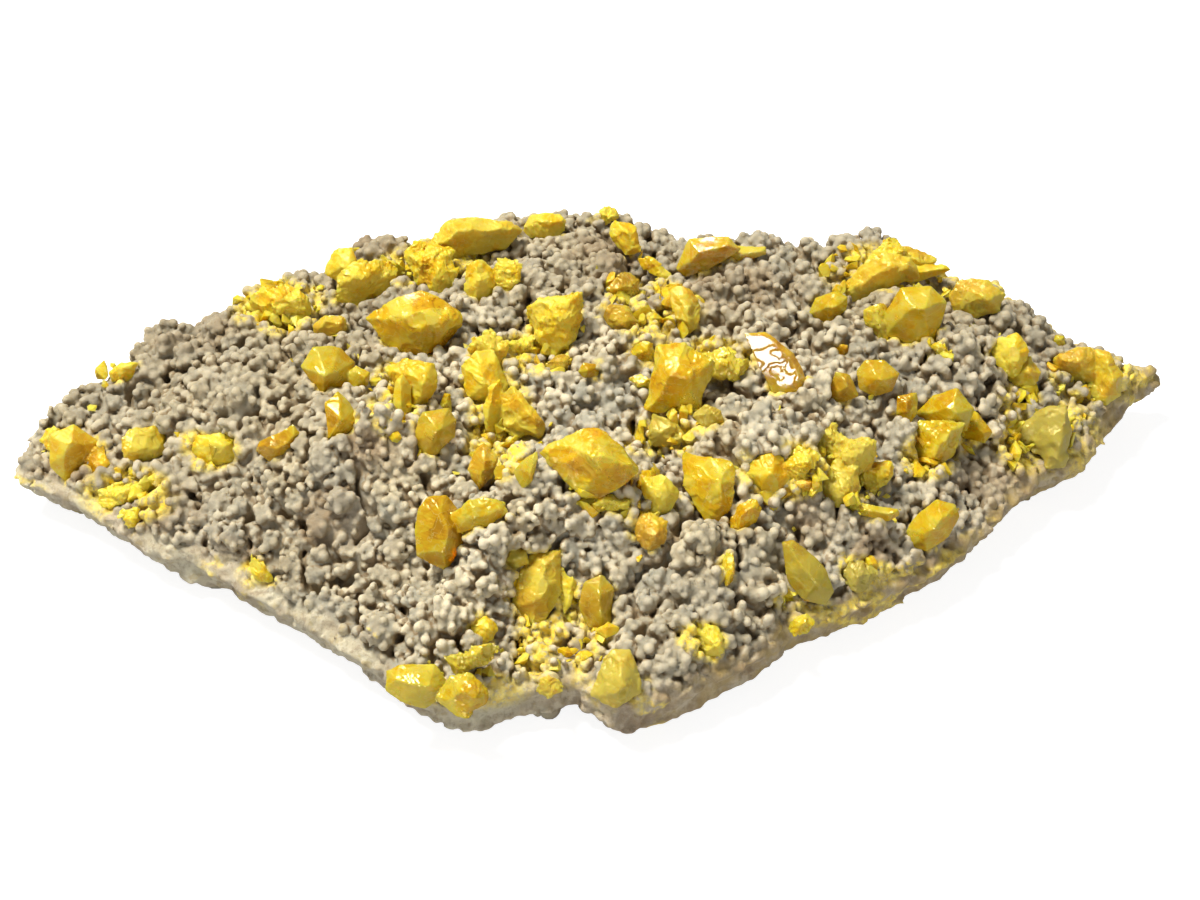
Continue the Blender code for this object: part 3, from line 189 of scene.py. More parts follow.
# ------------------------------------------------------------- the crystals
# Each crystal: its name, the node it belongs to, the corners of its girdle on
# the drawing with, after each corner, how far the face on the next edge turns
# towards the viewer (degrees; 90 lies square to the sight), the lean of the
# girdle (right, up), the heights of the front and back caps as a share of its
# size, the share of its height that it stands above the crust (or the crystal
# that it is set beside, and how far out from it in mm), and its habit.
#   gem     clean faces           broken  conchoidal chips
#   etched  pitted, softened      ragged  stepped sheets and torn edges
CRYSTALS = [
    ("left_tip_blade", "left_tip_group", [(33, 440, 50), (52, 425, 60), (68, 434, 40), (62, 456, 45)], (0.3, 0.2), 0.30, 0.50, 0.30, "ragged"),
    ("left_tip_crystal", "left_tip_group", [(50, 436, 55), (73, 425, 50), (98, 442, 45), (95, 459, 50), (66, 481, 55), (50, 463, 60)], (-0.2, 0.2), 0.38, 0.45, 0.26, "gem"),
    ("left_tip_brown", "left_tip_group", [(74, 456, 60), (102, 447, 50), (110, 464, 45), (96, 474, 50)], (0.4, -0.2), 0.35, 0.40, 0.22, "broken"),
    ("left_shoulder", "left_shoulder_crystal", [(107, 372, 45), (122, 360, 45), (139, 362, 50), (133, 380, 50), (111, 386, 55)], (0.2, 0.3), 0.40, 0.45, 0.25, "etched"),
    ("squat_left", "squat_left_crystal", [(121, 443, 55), (131, 426, 60), (153, 423, 50), (168, 434, 40), (165, 456, 45), (148, 463, 50), (123, 459, 45)], (-0.3, -0.1), 0.30, 0.50, 0.26, "etched"),
    ("left_pair_big", "left_pair", [(188, 452, 60), (196, 434, 50), (219, 430, 50), (237, 440, 45), (234, 466, 50), (205, 466, 55)], (0.2, 0.1), 0.36, 0.42, 0.22, "etched"),
    ("wedge", "wedge_crystal", [(255, 452, 40), (259, 442, 64), (293, 424, 55), (301, 434, 40), (287, 453, 42), (271, 465, 45)], (0.2, 0.3), 0.40, 0.45, 0.28, "gem"),
    ("amber", "amber_crystal", [(302, 367, 62), (314, 348, 60), (339, 348, 50), (354, 362, 40), (350, 383, 40), (322, 398, 42)], (-0.25, 0.1), 0.42, 0.45, 0.33, "gem"),
    ("bright_gem", "amber_crystal", [(344, 374, 50), (357, 365, 50), (370, 373, 45), (368, 386, 45), (352, 389, 50)], (0.3, 0.1), 0.45, 0.45, 0.35, "gem"),
    ("tall_pale", "tall_pale_crystal", [(324, 403, 64), (337, 391, 50), (350, 402, 42), (359, 421, 40), (351, 432, 45), (328, 440, 55)], (-0.2, 0.0), 0.36, 0.40, 0.28, "gem"),
    ("pale_round", "pale_round_crystal", [(312, 324, 50), (325, 312, 50), (343, 314, 50), (347, 328, 45), (336, 338, 50), (317, 337, 50)], (0.1, 0.2), 0.40, 0.45, 0.24, "etched"),
    ("ragged_left_back", "ragged_left_back_mass", [(240, 308, 60), (262, 289, 55), (292, 281, 50), (309, 296, 45), (312, 316, 45), (290, 331, 50), (258, 324, 55)], (0.1, 0.2), 0.26, 0.35, 0.20, "ragged"),
    ("back_left_small", "ragged_left_top_mass", [(325, 272, 50), (332, 251, 50), (352, 248, 50), (358, 268, 45), (342, 284, 50)], (0.3, 0.0), 0.40, 0.60, ("ragged_left_top", -1.5), "etched"),
    ("ragged_left_top", "ragged_left_top_mass", [(334, 300, 60), (340, 273, 50), (351, 258, 55), (381, 256, 50), (398, 271, 40), (390, 290, 45), (372, 305, 45)], (-0.2, 0.2), 0.34, 0.40, 0.30, "ragged"),
    ("great_left", "great_left_crystal", [(361, 319, 55), (384, 301, 52), (416, 286, 50), (440, 296, 45), (462, 311, 42), (466, 328, 42), (450, 347, 45), (421, 359, 48), (394, 351, 50)], (0.15, 0.15), 0.34, 0.36, 0.30, "broken"),
    ("back_mass_left", "back_ridge_mass", [(402, 252, 55), (430, 236, 50), (456, 254, 45), (458, 286, 45), (438, 296, 50), (412, 282, 50)], (0.1, -0.1), 0.34, 0.50, 0.22, "ragged"),
    ("skyline_mass", "back_ridge_mass", [(431, 244, 50), (447, 222, 45), (470, 218, 40), (506, 220, 40), (521, 231, 45), (505, 250, 50), (448, 262, 50)], (-0.1, 0.2), 0.45, 0.55, ("back_mass_left", -4.0), "etched"),
    ("skyline_middle", "skyline_middle_mass", [(520, 229, 50), (532, 213, 40), (557, 212, 40), (569, 221, 45), (560, 238, 50), (531, 240, 50)], (0.1, 0.1), 0.50, 0.55, 0.20, "etched"),
    ("skyline_patch_west", "skyline_patch_west", [(592, 220, 50), (598, 207, 40), (616, 208, 40), (623, 220, 45), (610, 229, 50)], (0.0, 0.2), 0.50, 0.60, 0.20, "ragged"),
    ("skyline_patch_east", "skyline_patch_east", [(608, 232, 50), (612, 216, 45), (640, 226, 45), (640, 250, 50), (625, 257, 50)], (0.2, 0.0), 0.35, 0.60, 0.20, "etched"),
    ("pair_west", "back_pair", [(463, 288, 50), (466, 266, 50), (482, 260, 45), (497, 272, 42), (495, 293, 45), (479, 304, 50)], (-0.2, 0.1), 0.40, 0.45, 0.30, "etched"),
    ("pair_east", "back_pair", [(493, 278, 50), (497, 259, 45), (513, 255, 45), (524, 268, 40), (519, 288, 45), (505, 294, 50)], (0.3, 0.1), 0.42, 0.45, 0.32, "ragged"),
    ("bright_etched", "bright_etched_crystal", [(519, 310, 55), (531, 299, 50), (557, 290, 50), (584, 290, 45), (589, 306, 40), (577, 336, 42), (560, 358, 45), (543, 354, 50), (528, 338, 50)], (0.1, 0.25), 0.34, 0.38, 0.32, "ragged"),
    ("bright_flake", "bright_etched_crystal", [(504, 346, 55), (516, 334, 50), (534, 334, 45), (536, 357, 50), (513, 361, 55)], (-0.3, 0.1), 0.35, 0.50, 0.25, "ragged"),
    ("arch_mass", "arch_group", [(470, 345, 55), (480, 331, 50), (497, 330, 45), (507, 345, 45), (504, 374, 45), (476, 376, 50)], (0.1, 0.2), 0.35, 0.50, 0.28, "ragged"),
    ("arch_block", "arch_group", [(462, 366, 60), (476, 351, 55), (494, 351, 45), (508, 378, 40), (503, 404, 45), (467, 398, 50)], (-0.1, 0.1), 0.36, 0.60, 0.26, "broken"),
    ("fan_west", "arch_group", [(484, 432, 50), (486, 386, 50), (500, 378, 45), (510, 402, 45), (508, 436, 50)], (-0.5, 0.2), 0.60, 0.50, 0.22, "broken"),
    ("fan_east", "arch_group", [(500, 428, 55), (498, 392, 50), (514, 386, 45), (532, 404, 42), (546, 425, 42), (540, 439, 50), (516, 441, 50)], (0.3, 0.2), 0.36, 0.50, 0.24, "broken"),
    ("twin_east", "twin_crystals", [(386, 368, 55), (392, 361, 55), (411, 358, 50), (435, 365, 42), (438, 384, 40), (427, 403, 42), (410, 414, 50)], (0.1, 0.0), 0.36, 0.42, 0.30, "etched"),
    ("twin_west", "twin_crystals", [(392, 402, 58), (395, 383, 52), (403, 375, 50), (411, 386, 42), (412, 408, 40), (404, 426, 45), (396, 420, 52)], (-0.3, 0.1), 0.75, 0.80, ("twin_east", 2.5), "gem"),
    ("gem", "gem_crystal", [(413, 438, 52), (416, 423, 50), (422, 411, 52), (449, 408, 48), (458, 420, 42), (456, 436, 42), (434, 457, 45), (422, 455, 48)], (0.0, 0.1), 0.36, 0.42, 0.34, "gem"),
    ("low_gem", "low_gem_crystal", [(467, 472, 52), (470, 455, 52), (484, 441, 50), (499, 458, 42), (495, 477, 42), (478, 492, 48)], (-0.1, 0.0), 0.34, 0.40, 0.28, "broken"),
    ("thin_blade", "thin_blade_crystal", [(541, 448, 42), (534, 479, 45), (522, 491, 50), (513, 471, 62), (524, 458, 60)], (0.3, 0.3), 0.30, 0.32, 0.26, "gem"),
    ("great_dipyramid", "great_dipyramid", [(540, 453, 52), (572, 434, 50), (603, 430, 48), (639, 461, 44), (635, 472, 48), (597, 501, 50), (578, 494, 52), (561, 476, 52)], (0.1, 0.1), 0.33, 0.34, 0.34, "broken"),
    ("dipyramid_foot", "great_dipyramid", [(591, 494, 50), (612, 482, 50), (629, 492, 45), (632, 509, 50), (612, 508, 55)], (0.0, -0.2), 0.45, 0.35, 0.20, "ragged"),
    ("pale_flake", "pale_flake_crystal", [(639, 490, 55), (643, 474, 55), (663, 471, 50), (679, 487, 42), (676, 508, 45), (655, 522, 50)], (-0.2, 0.1), 0.30, 0.38, 0.30, "etched"),
    ("deep_amber", "deep_amber_crystal", [(632, 535, 55), (636, 516, 50), (655, 511, 50), (669, 522, 45), (665, 545, 50), (645, 551, 50)], (0.1, -0.1), 0.36, 0.45, 0.18, "etched"),
    ("blocky_great", "blocky_great_crystal", [(647, 409, 42), (653, 364, 42), (657, 346, 52), (684, 344, 54), (711, 362, 46), (709, 383, 44), (699, 409, 50), (677, 412, 54)], (0.05, 0.1), 0.30, 0.50, 0.36, "broken"),
    ("fringe_mass", "blocky_great_crystal", [(690, 352, 55), (722, 344, 50), (746, 360, 45), (744, 378, 45), (722, 386, 50), (692, 384, 50)], (0.2, 0.2), 0.26, 0.50, ("blocky_great", -4.0), "ragged"),
    ("back_tilt", "back_tilt_crystal", [(605, 290, 64), (624, 272, 55), (643, 281, 42), (638, 298, 45), (618, 300, 50)], (-0.3, 0.3), 0.38, 0.45, 0.28, "broken"),
    ("back_chunk", "back_chunk_crystal", [(601, 318, 55), (612, 303, 50), (630, 304, 50), (640, 320, 45), (630, 333, 50), (608, 330, 50)], (0.2, 0.0), 0.36, 0.42, 0.22, "broken"),
    ("hanging", "hanging_crystal", [(669, 290, 55), (676, 284, 50), (690, 286, 45), (702, 306, 42), (699, 327, 45), (683, 341, 50), (674, 325, 55)], (-0.1, -0.2), 0.34, 0.42, 0.24, "etched"),
    ("skyline_gem", "skyline_gem_crystal", [(678, 268, 50), (690, 240, 62), (727, 237, 50), (739, 249, 42), (733, 261, 45), (711, 268, 50), (692, 280, 50)], (0.1, 0.3), 0.40, 0.45, 0.30, "gem"),
    ("skyline_small", "skyline_gem_crystal", [(724, 256, 50), (728, 246, 50), (765, 246, 45), (765, 255, 50), (738, 263, 50)], (0.0, 0.0), 0.60, 0.60, ("skyline_gem", -1.0), "gem"),
    ("mirror_gem", "mirror_gem_crystal", [(743, 333, 46), (766, 331, 48), (794, 352, 44), (808, 381, 40), (797, 394, 46), (773, 394, 50)], (-0.1, 0.2), 0.46, 0.42, 0.36, "gem"),
    ("olive_translucent", "olive_translucent_crystal", [(643, 432, 60), (655, 414, 55), (682, 416, 50), (692, 430, 50), (680, 446, 55), (654, 448, 60)], (0.0, 0.1), 0.28, 0.36, 0.18, "etched"),
    ("back_right_small", "back_right_small_crystal", [(808, 316, 52), (814, 298, 50), (835, 291, 50), (849, 297, 42), (846, 312, 42), (826, 324, 48)], (0.1, 0.1), 0.42, 0.45, 0.32, "gem"),
    ("right_back_mass", "right_back_mass", [(840, 292, 58), (857, 268, 55), (883, 252, 50), (910, 256, 45), (918, 277, 45), (878, 295, 50), (852, 304, 52)], (0.1, 0.2), 0.30, 0.50, 0.28, "etched"),
    ("right_skyline", "right_back_mass", [(864, 256, 50), (880, 241, 45), (893, 239, 45), (912, 252, 45), (914, 272, 50), (876, 276, 50)], (0.1, 0.1), 0.45, 0.55, 0.22, "ragged"),
    ("right_finger", "right_back_mass", [(896, 266, 50), (943, 264, 45), (948, 271, 45), (922, 281, 50), (896, 282, 50)], (0.1, 0.1), 0.60, 0.60, 0.30, "gem"),
    ("great_right_back", "great_right_back_crystal", [(886, 334, 52), (887, 312, 50), (901, 289, 52), (930, 287, 48), (945, 303, 42), (940, 322, 42), (933, 343, 48), (911, 343, 52)], (0.0, 0.2), 0.36, 0.40, 0.34, "gem"),
    ("great_right_side", "great_right_back_crystal", [(864, 308, 55), (883, 302, 50), (898, 325, 45), (884, 344, 50), (866, 328, 55)], (-0.2, 0.1), 0.42, 0.50, 0.22, "etched"),
    ("smooth_right", "smooth_right_mass", [(947, 296, 55), (959, 278, 52), (985, 277, 48), (1006, 295, 45), (1001, 313, 48), (974, 321, 52), (952, 311, 55)], (0.1, 0.1), 0.30, 0.40, 0.20, "etched"),
    ("round_east", "round_east_crystal", [(855, 373, 55), (865, 360, 52), (885, 360, 50), (899, 374, 44), (892, 391, 44), (874, 397, 48), (859, 389, 50)], (0.1, 0.0), 0.40, 0.45, 0.32, "gem"),
    ("round_west", "round_west_crystal", [(826, 395, 60), (835, 371, 52), (849, 374, 42), (860, 396, 40), (846, 402, 50), (830, 403, 55)], (0.1, 0.2), 0.44, 0.46, 0.30, "gem"),
    ("right_chip", "right_chip_crystal", [(896, 414, 52), (897, 396, 50), (917, 393, 46), (918, 411, 42), (910, 425, 48)], (-0.2, 0.1), 0.42, 0.48, 0.30, "gem"),
    ("big_right", "big_right_crystals", [(915, 416, 52), (933, 396, 54), (957, 389, 50), (973, 409, 42), (966, 430, 44), (940, 438, 50)], (0.1, 0.2), 0.38, 0.55, 0.36, "gem"),
    ("big_right_lower", "big_right_crystals", [(913, 450, 55), (917, 422, 52), (966, 420, 48), (955, 452, 44), (938, 469, 48), (918, 470, 54)], (0.0, 0.0), 0.34, 0.50, 0.24, "etched"),
    ("big_right_side", "big_right_crystals", [(956, 416, 50), (976, 411, 46), (992, 433, 42), (985, 443, 48), (958, 438, 52)], (0.3, 0.0), 0.40, 0.45, 0.24, "gem"),
    ("rounded_yellow", "rounded_yellow_crystal", [(990, 352, 52), (999, 336, 50), (1016, 332, 48), (1029, 345, 44), (1028, 363, 44), (1014, 378, 48), (996, 369, 52)], (0.1, 0.1), 0.40, 0.45, 0.28, "etched"),
    ("right_end_long", "right_end_crystals", [(1044, 364, 52), (1056, 352, 50), (1090, 347, 48), (1099, 362, 45), (1096, 385, 45), (1072, 380, 50)], (-0.1, 0.2), 0.32, 0.40, 0.26, "etched"),
    ("right_end_amber", "right_end_crystals", [(1088, 372, 52), (1093, 350, 50), (1110, 353, 46), (1124, 376, 42), (1120, 396, 44), (1104, 405, 48), (1090, 394, 52)], (0.2, 0.1), 0.36, 0.42, 0.26, "etched"),
    ("olive_right", "olive_right_mass", [(1012, 446, 62), (1020, 420, 58), (1042, 398, 52), (1066, 402, 46), (1078, 425, 44), (1076, 452, 46), (1060, 470, 50), (1030, 466, 58)], (0.1, 0.1), 0.24, 0.34, 0.16, "etched"),
    ("broken_great", "broken_great_crystal", [(680, 446, 52), (708, 454, 52), (735, 462, 46), (740, 475, 42), (735, 496, 42), (722, 522, 48), (704, 522, 54), (693, 508, 54), (682, 482, 52)], (0.1, 0.0), 0.34, 0.36, 0.30, "broken"),
    ("amber_below", "amber_below_crystal", [(728, 526, 50), (735, 505, 52), (755, 496, 48), (764, 508, 42), (757, 522, 44), (737, 537, 48)], (0.0, 0.1), 0.36, 0.42, 0.28, "broken"),
    ("middle_west", "middle_pair", [(745, 475, 54), (758, 456, 52), (780, 455, 48), (789, 472, 44), (780, 491, 48), (758, 493, 54)], (0.0, 0.1), 0.34, 0.42, 0.26, "etched"),
    ("middle_east", "middle_pair", [(779, 462, 54), (796, 443, 52), (816, 448, 46), (819, 467, 44), (803, 482, 48), (784, 478, 52)], (0.1, 0.1), 0.34, 0.42, 0.28, "ragged"),
    ("translucent_great", "translucent_group", [(816, 448, 54), (822, 431, 52), (836, 420, 50), (863, 421, 46), (878, 438, 42), (875, 462, 44), (858, 479, 48), (832, 474, 54)], (0.1, 0.1), 0.32, 0.38, 0.30, "ragged"),
    ("translucent_foot", "translucent_group", [(820, 480, 55), (834, 460, 50), (860, 466, 46), (861, 500, 48), (842, 508, 52), (824, 499, 56)], (0.0, -0.1), 0.36, 0.55, ("translucent_great", 1.5), "etched"),
    ("translucent_flake", "translucent_group", [(850, 484, 54), (856, 462, 52), (892, 463, 44), (890, 484, 44), (872, 496, 50)], (0.2, 0.1), 0.35, 0.50, 0.24, "ragged"),
    ("lying_prism", "lying_prism_crystal", [(847, 507, 60), (858, 502, 58), (898, 508, 44), (901, 515, 44), (889, 522, 48), (856, 515, 55)], (0.1, 0.2), 0.70, 0.60, 0.40, "gem"),
    ("rim_crystal", "rim_crystal", [(905, 532, 54), (919, 511, 54), (936, 499, 48), (956, 505, 42), (960, 518, 42), (949, 538, 44), (927, 552, 50), (911, 547, 54)], (0.0, 0.1), 0.34, 0.40, 0.30, "gem"),
    ("shield", "shield_crystal", [(781, 541, 52), (792, 539, 48), (812, 553, 44), (828, 571, 42), (835, 592, 44), (826, 605, 50), (803, 601, 54), (787, 580, 54)], (-0.1, 0.1), 0.28, 0.36, 0.28, "gem"),
    ("dull_under", "dull_under_crystal", [(840, 577, 60), (845, 558, 55), (868, 561, 50), (884, 580, 50), (856, 594, 60)], (0.0, 0.0), 0.32, 0.42, 0.16, "etched"),
    ("front_right_pair", "front_right_pair", [(692, 636, 54), (697, 621, 52), (711, 619, 48), (726, 634, 44), (728, 649, 46), (714, 661, 50), (698, 650, 54)], (0.1, 0.0), 0.36, 0.45, 0.24, "ragged"),
    ("orange_gem", "orange_gem_crystal", [(416, 530, 66), (419, 510, 60), (427, 498, 54), (446, 496, 46), (464, 519, 36), (462, 545, 36), (447, 571, 44), (418, 555, 50)], (-0.15, 0.1), 0.40, 0.44, 0.34, "gem"),
    ("orange_neighbour", "orange_gem_crystal", [(448, 518, 60), (470, 500, 56), (500, 500, 48), (509, 512, 46), (492, 526, 52), (456, 532, 56)], (0.1, 0.2), 0.38, 0.50, 0.22, "etched"),
    ("vug_amber", "vug_group", [(506, 560, 54), (511, 549, 50), (526, 549, 46), (530, 563, 46), (514, 570, 52)], (0.1, 0.1), 0.42, 0.48, 0.20, "etched"),
    ("vug_main", "vug_group", [(512, 605, 54), (519, 574, 52), (534, 553, 50), (559, 553, 46), (562, 585, 44), (552, 617, 48), (530, 625, 54)], (0.0, 0.0), 0.30, 0.36, 0.24, "broken"),
    ("vug_pale", "vug_group", [(556, 590, 54), (560, 564, 50), (577, 578, 42), (575, 600, 44), (563, 618, 50)], (0.3, 0.1), 0.55, 0.45, 0.30, "etched"),
    ("egg", "egg_crystal", [(578, 607, 52), (584, 582, 52), (602, 574, 48), (615, 590, 42), (612, 622, 44), (600, 633, 50), (588, 628, 54)], (0.0, 0.1), 0.36, 0.42, 0.26, "gem"),
    ("front_left", "front_left_crystals", [(387, 690, 52), (388, 671, 54), (404, 665, 56), (435, 665, 48), (446, 682, 42), (443, 695, 44), (424, 708, 48), (403, 702, 52)], (0.0, 0.1), 0.36, 0.50, 0.30, "gem"),
    ("front_left_second", "front_left_crystals", [(436, 700, 52), (448, 677, 52), (468, 672, 50), (488, 688, 44), (487, 702, 46), (469, 718, 50), (448, 710, 52)], (0.1, 0.1), 0.34, 0.50, 0.28, "etched"),
    ("front_sheet", "front_left_crystals", [(445, 655, 56), (470, 645, 52), (502, 640, 46), (484, 672, 46), (456, 688, 54)], (0.0, 0.2), 0.22, 0.50, ("front_left_second", -2.0), "ragged"),
    ("front_big_right", "front_big_right_crystal", [(588, 697, 54), (596, 668, 54), (608, 648, 50), (628, 646, 46), (641, 669, 42), (641, 696, 44), (618, 712, 50)], (0.0, 0.0), 0.32, 0.42, 0.24, "etched"),
    ("front_under", "front_under_crystal", [(528, 690, 54), (540, 674, 50), (560, 676, 48), (566, 690, 48), (548, 700, 52)], (0.0, 0.0), 0.36, 0.46, 0.18, "ragged"),
]


# Crystals that have grown together are drawn this much larger, so that they
# run into each other.
GROWN = [c[1] for c in CRYSTALS]
MEET = {node: 1.07 for node in GROWN if GROWN.count(node) > 1}


def sight_frame(u, v):
    """Axes for a crystal at (u, v): right, up and out towards the viewer."""
    out = -(S_RIGHT * (u - 600.0) / FOCAL + S_UP * (450.0 - v) / FOCAL - S_OUT)
    out = out / np.linalg.norm(out)
    right = np.cross(S_UP, out)
    right = right / np.linalg.norm(right)
    return right, np.cross(out, right), out


def crystal_planes(spec):
    """A crystal's centre, its size across, and its faces as outward planes."""
    corners = np.array([(c[0], c[1]) for c in spec[2]], float)
    turn = [math.radians(c[2]) for c in spec[2]]
    lean, front, back, stand = spec[3], spec[4], spec[5], spec[6]
    # corners are kept anticlockwise as seen by the viewer
    flat = np.stack([corners[:, 0], -corners[:, 1]], axis=1)
    nxt = np.roll(flat, -1, axis=0)
    cross = flat[:, 0] * nxt[:, 1] - nxt[:, 0] * flat[:, 1]
    area = cross.sum() / 2.0
    mid = ((flat + nxt) * cross[:, None]).sum(axis=0) / (6.0 * area)
    u, v = mid[0], -mid[1]
    if isinstance(stand, tuple):
        # set beside another crystal of its group, so far out from it
        other = next(c for c in CRYSTALS if c[0] == stand[0])
        level = (crystal_planes(other)[0] - MIDDLE).dot(S_OUT) + stand[1]
        ray = S_RIGHT * (u - 600.0) / FOCAL + S_UP * (450.0 - v) / FOCAL - S_OUT
        far = SIGHT_AWAY - level
        centre = EYE + ray * far
    else:
        tall = (corners[:, 1].max() - corners[:, 1].min()) * GRID
        centre, ray, far = follow_sight(u, v, tall * stand, crust_top)
    scale = GRID * far / SIGHT_AWAY
    right, up, out = sight_frame(u, v)
    size = math.sqrt(abs(area)) * scale
    local = (flat - mid) * scale * MEET.get(spec[1], 1.0)
    sign = 1.0 if area > 0 else -1.0
    planes = []
    for i in range(len(local)):
        p, q = local[i], local[(i + 1) % len(local)]
        e2 = (q - p) / np.linalg.norm(q - p)
        n2 = np.array([e2[1], -e2[0]]) * sign
        at = right * p[0] + up * p[1] + out * (lean[0] * p[0] + lean[1] * p[1])
        along = right * e2[0] + up * e2[1] + out * (lean[0] * e2[0] + lean[1] * e2[1])
        along = along / np.linalg.norm(along)
        flat_n = right * n2[0] + up * n2[1]
        for angle in (turn[i], -math.radians(30.0)):
            n = flat_n * math.cos(angle) + out * math.sin(angle)
            n = n - along * n.dot(along)
            n = n / np.linalg.norm(n)
            planes.append((n, n.dot(centre + at)))
    for n, share in ((out, front), (-out, back)):
        n = n + 0.25 * (right * lean[0] + up * lean[1]) * (1 if n is out else -1)
        n = n / np.linalg.norm(n)
        planes.append((n, n.dot(centre) + 1.25 * size * share))
    return centre, size, planes

# Crystals too small to have a solid of their own.
SMALL = [
    ("left_pair_small", "small", [(209, 443, 55), (229, 438, 50), (233, 456, 45), (212, 460, 50)], (-0.2, 0.3), 0.60, 0.3, 0.42, "gem"),
    ("dark_gem", "small", [(543, 364, 60), (556, 354, 50), (572, 358, 45), (572, 370, 50), (553, 376, 55)], (0.2, 0.0), 0.40, 0.45, 0.22, "broken"),
    ("gem_spike", "small", [(437, 410, 45), (444, 392, 40), (450, 393, 40), (453, 411, 45)], (0.1, 0.1), 0.50, 0.50, 0.30, "gem"),
    ("small_tablet", "small", [(577, 372, 60), (583, 362, 55), (600, 363, 50), (599, 376, 50), (584, 379, 55)], (-0.2, 0.1), 0.40, 0.50, 0.26, "gem"),
    ("chip_upper", "small", [(628, 356, 55), (635, 341, 50), (651, 340, 50), (654, 357, 45), (643, 369, 50)], (0.2, 0.2), 0.42, 0.50, 0.26, "broken"),
    ("chip_lower", "small", [(628, 378, 55), (640, 371, 50), (654, 382, 45), (650, 390, 50), (634, 389, 55)], (-0.1, 0.1), 0.45, 0.50, 0.26, "broken"),
    ("pale_patch", "small", [(638, 258, 55), (652, 254, 50), (671, 272, 45), (667, 282, 50), (646, 274, 55)], (0.1, 0.1), 0.32, 0.42, 0.20, "etched"),
    ("grey_amber", "small", [(691, 415, 55), (703, 403, 50), (722, 407, 48), (724, 422, 50), (706, 429, 55)], (0.1, 0.1), 0.42, 0.50, 0.22, "etched"),
    ("rim_chip", "small", [(784, 636, 55), (790, 620, 52), (808, 613, 48), (817, 622, 46), (806, 635, 50)], (0.1, 0.1), 0.40, 0.48, 0.22, "broken"),
    ("narrow_blade", "small", [(720, 570, 52), (721, 556, 50), (729, 545, 46), (737, 558, 42), (736, 578, 45), (728, 588, 50)], (0.2, 0.1), 0.60, 0.55, 0.26, "broken"),
    ("lower_amber", "small", [(470, 632, 54), (474, 618, 50), (485, 614, 48), (496, 624, 44), (494, 640, 48), (480, 645, 52)], (0.1, 0.0), 0.42, 0.48, 0.22, "etched"),
    ("skyline_tiny", "small", [(1052, 342, 50), (1055, 334, 46), (1064, 335, 46), (1066, 345, 48), (1057, 349, 50)], (0.1, 0.1), 0.55, 0.60, 0.22, "gem"),
    ("right_back_upper", "small", [(872, 262, 55), (884, 246, 50), (912, 246, 46), (938, 260, 44), (926, 272, 50), (888, 274, 52)], (0.1, 0.1), 0.36, 0.48, 0.14, "etched"),
    ("golden_flake", "small", [(930, 344, 52), (942, 340, 50), (956, 352, 44), (950, 361, 48), (936, 357, 52)], (0.1, 0.1), 0.34, 0.46, 0.20, "broken"),
    ("amber_bead", "small", [(834, 349, 52), (841, 342, 50), (850, 346, 46), (848, 354, 48), (838, 356, 52)], (0.0, 0.1), 0.42, 0.50, 0.22, "etched"),
    ("pale_round_foot", "small", [(1003, 374, 54), (1012, 358, 50), (1032, 356, 46), (1043, 372, 44), (1036, 386, 48), (1010, 388, 52)], (0.1, 0.1), 0.34, 0.42, 0.20, "etched"),
    ("dipyramid_neighbour", "small", [(634, 480, 54), (641, 467, 50), (655, 469, 46), (661, 485, 44), (650, 497, 48), (637, 494, 52)], (0.1, 0.1), 0.42, 0.48, 0.26, "broken"),
    ("dipyramid_foot", "small", [(574, 506, 54), (586, 494, 52), (612, 492, 48), (634, 497, 44), (630, 510, 48), (600, 516, 52)], (0.1, 0.0), 0.30, 0.46, 0.14, "broken"),
    ("left_sheet_upper", "small", [(92, 492, 50), (110, 480, 52), (148, 479, 46), (160, 490, 42), (136, 501, 46), (108, 512, 50)], (0.1, 0.1), 0.26, 0.46, 0.12, "ragged"),
    ("left_sheet_lower", "small", [(114, 517, 52), (124, 502, 50), (141, 505, 44), (146, 524, 46), (131, 532, 50)], (0.1, 0.1), 0.32, 0.46, 0.16, "ragged"),
    ("edge_wedge", "small", [(246, 561, 52), (257, 554, 50), (269, 569, 44), (276, 582, 46), (262, 584, 50), (250, 574, 52)], (0.1, 0.1), 0.36, 0.50, 0.18, "etched"),
    ("rim_olive", "small", [(843, 586, 54), (850, 567, 50), (869, 561, 46), (882, 574, 44), (868, 590, 48)], (0.1, 0.1), 0.34, 0.46, 0.16, "etched"),
]


# ---------------------------------------------------------------- fields
def random_for(words):
    """A generator whose numbers depend only on the words."""
    seed = 2166136261
    for letter in words:
        seed = ((seed ^ ord(letter)) * 16777619) & 0xFFFFFFFF
    return np.random.default_rng(seed)


TABLE = (np.random.default_rng(5).random(64 ** 3) * 2.0 - 1.0).astype(np.float32)


def hash_noise(p, seed):
    """Smooth value noise from -1 to 1 at points p (N, 3), one cell a unit."""
    q = p + np.array([seed * 7.31 % 64.0, seed * 3.77 % 64.0, seed * 1.93 % 64.0])
    base = np.floor(q)
    w = (q - base).astype(np.float32)
    w = w * w * (3.0 - 2.0 * w)
    b = base.astype(np.int32)
    x = [(b[:, 0] & 63) * 4096, ((b[:, 0] + 1) & 63) * 4096]
    y = [(b[:, 1] & 63) * 64, ((b[:, 1] + 1) & 63) * 64]
    z = [b[:, 2] & 63, (b[:, 2] + 1) & 63]
    sides = []
    for i in (0, 1):
        rows = []
        for j in (0, 1):
            at = x[i] + y[j]
            low = TABLE[at + z[0]]
            rows.append(low + (TABLE[at + z[1]] - low) * w[:, 2])
        sides.append(rows[0] + (rows[1] - rows[0]) * w[:, 1])
    return sides[0] + (sides[1] - sides[0]) * w[:, 0]


def fractal(p, cell, seed, octaves=3, gain=0.5):
    total = np.zeros(len(p), np.float32)
    size, height = cell, 1.0
    for k in range(octaves):
        total += height * hash_noise(p / size + 17.3 * k, seed + 31 * k)
        size *= 0.5
        height *= gain
    return total


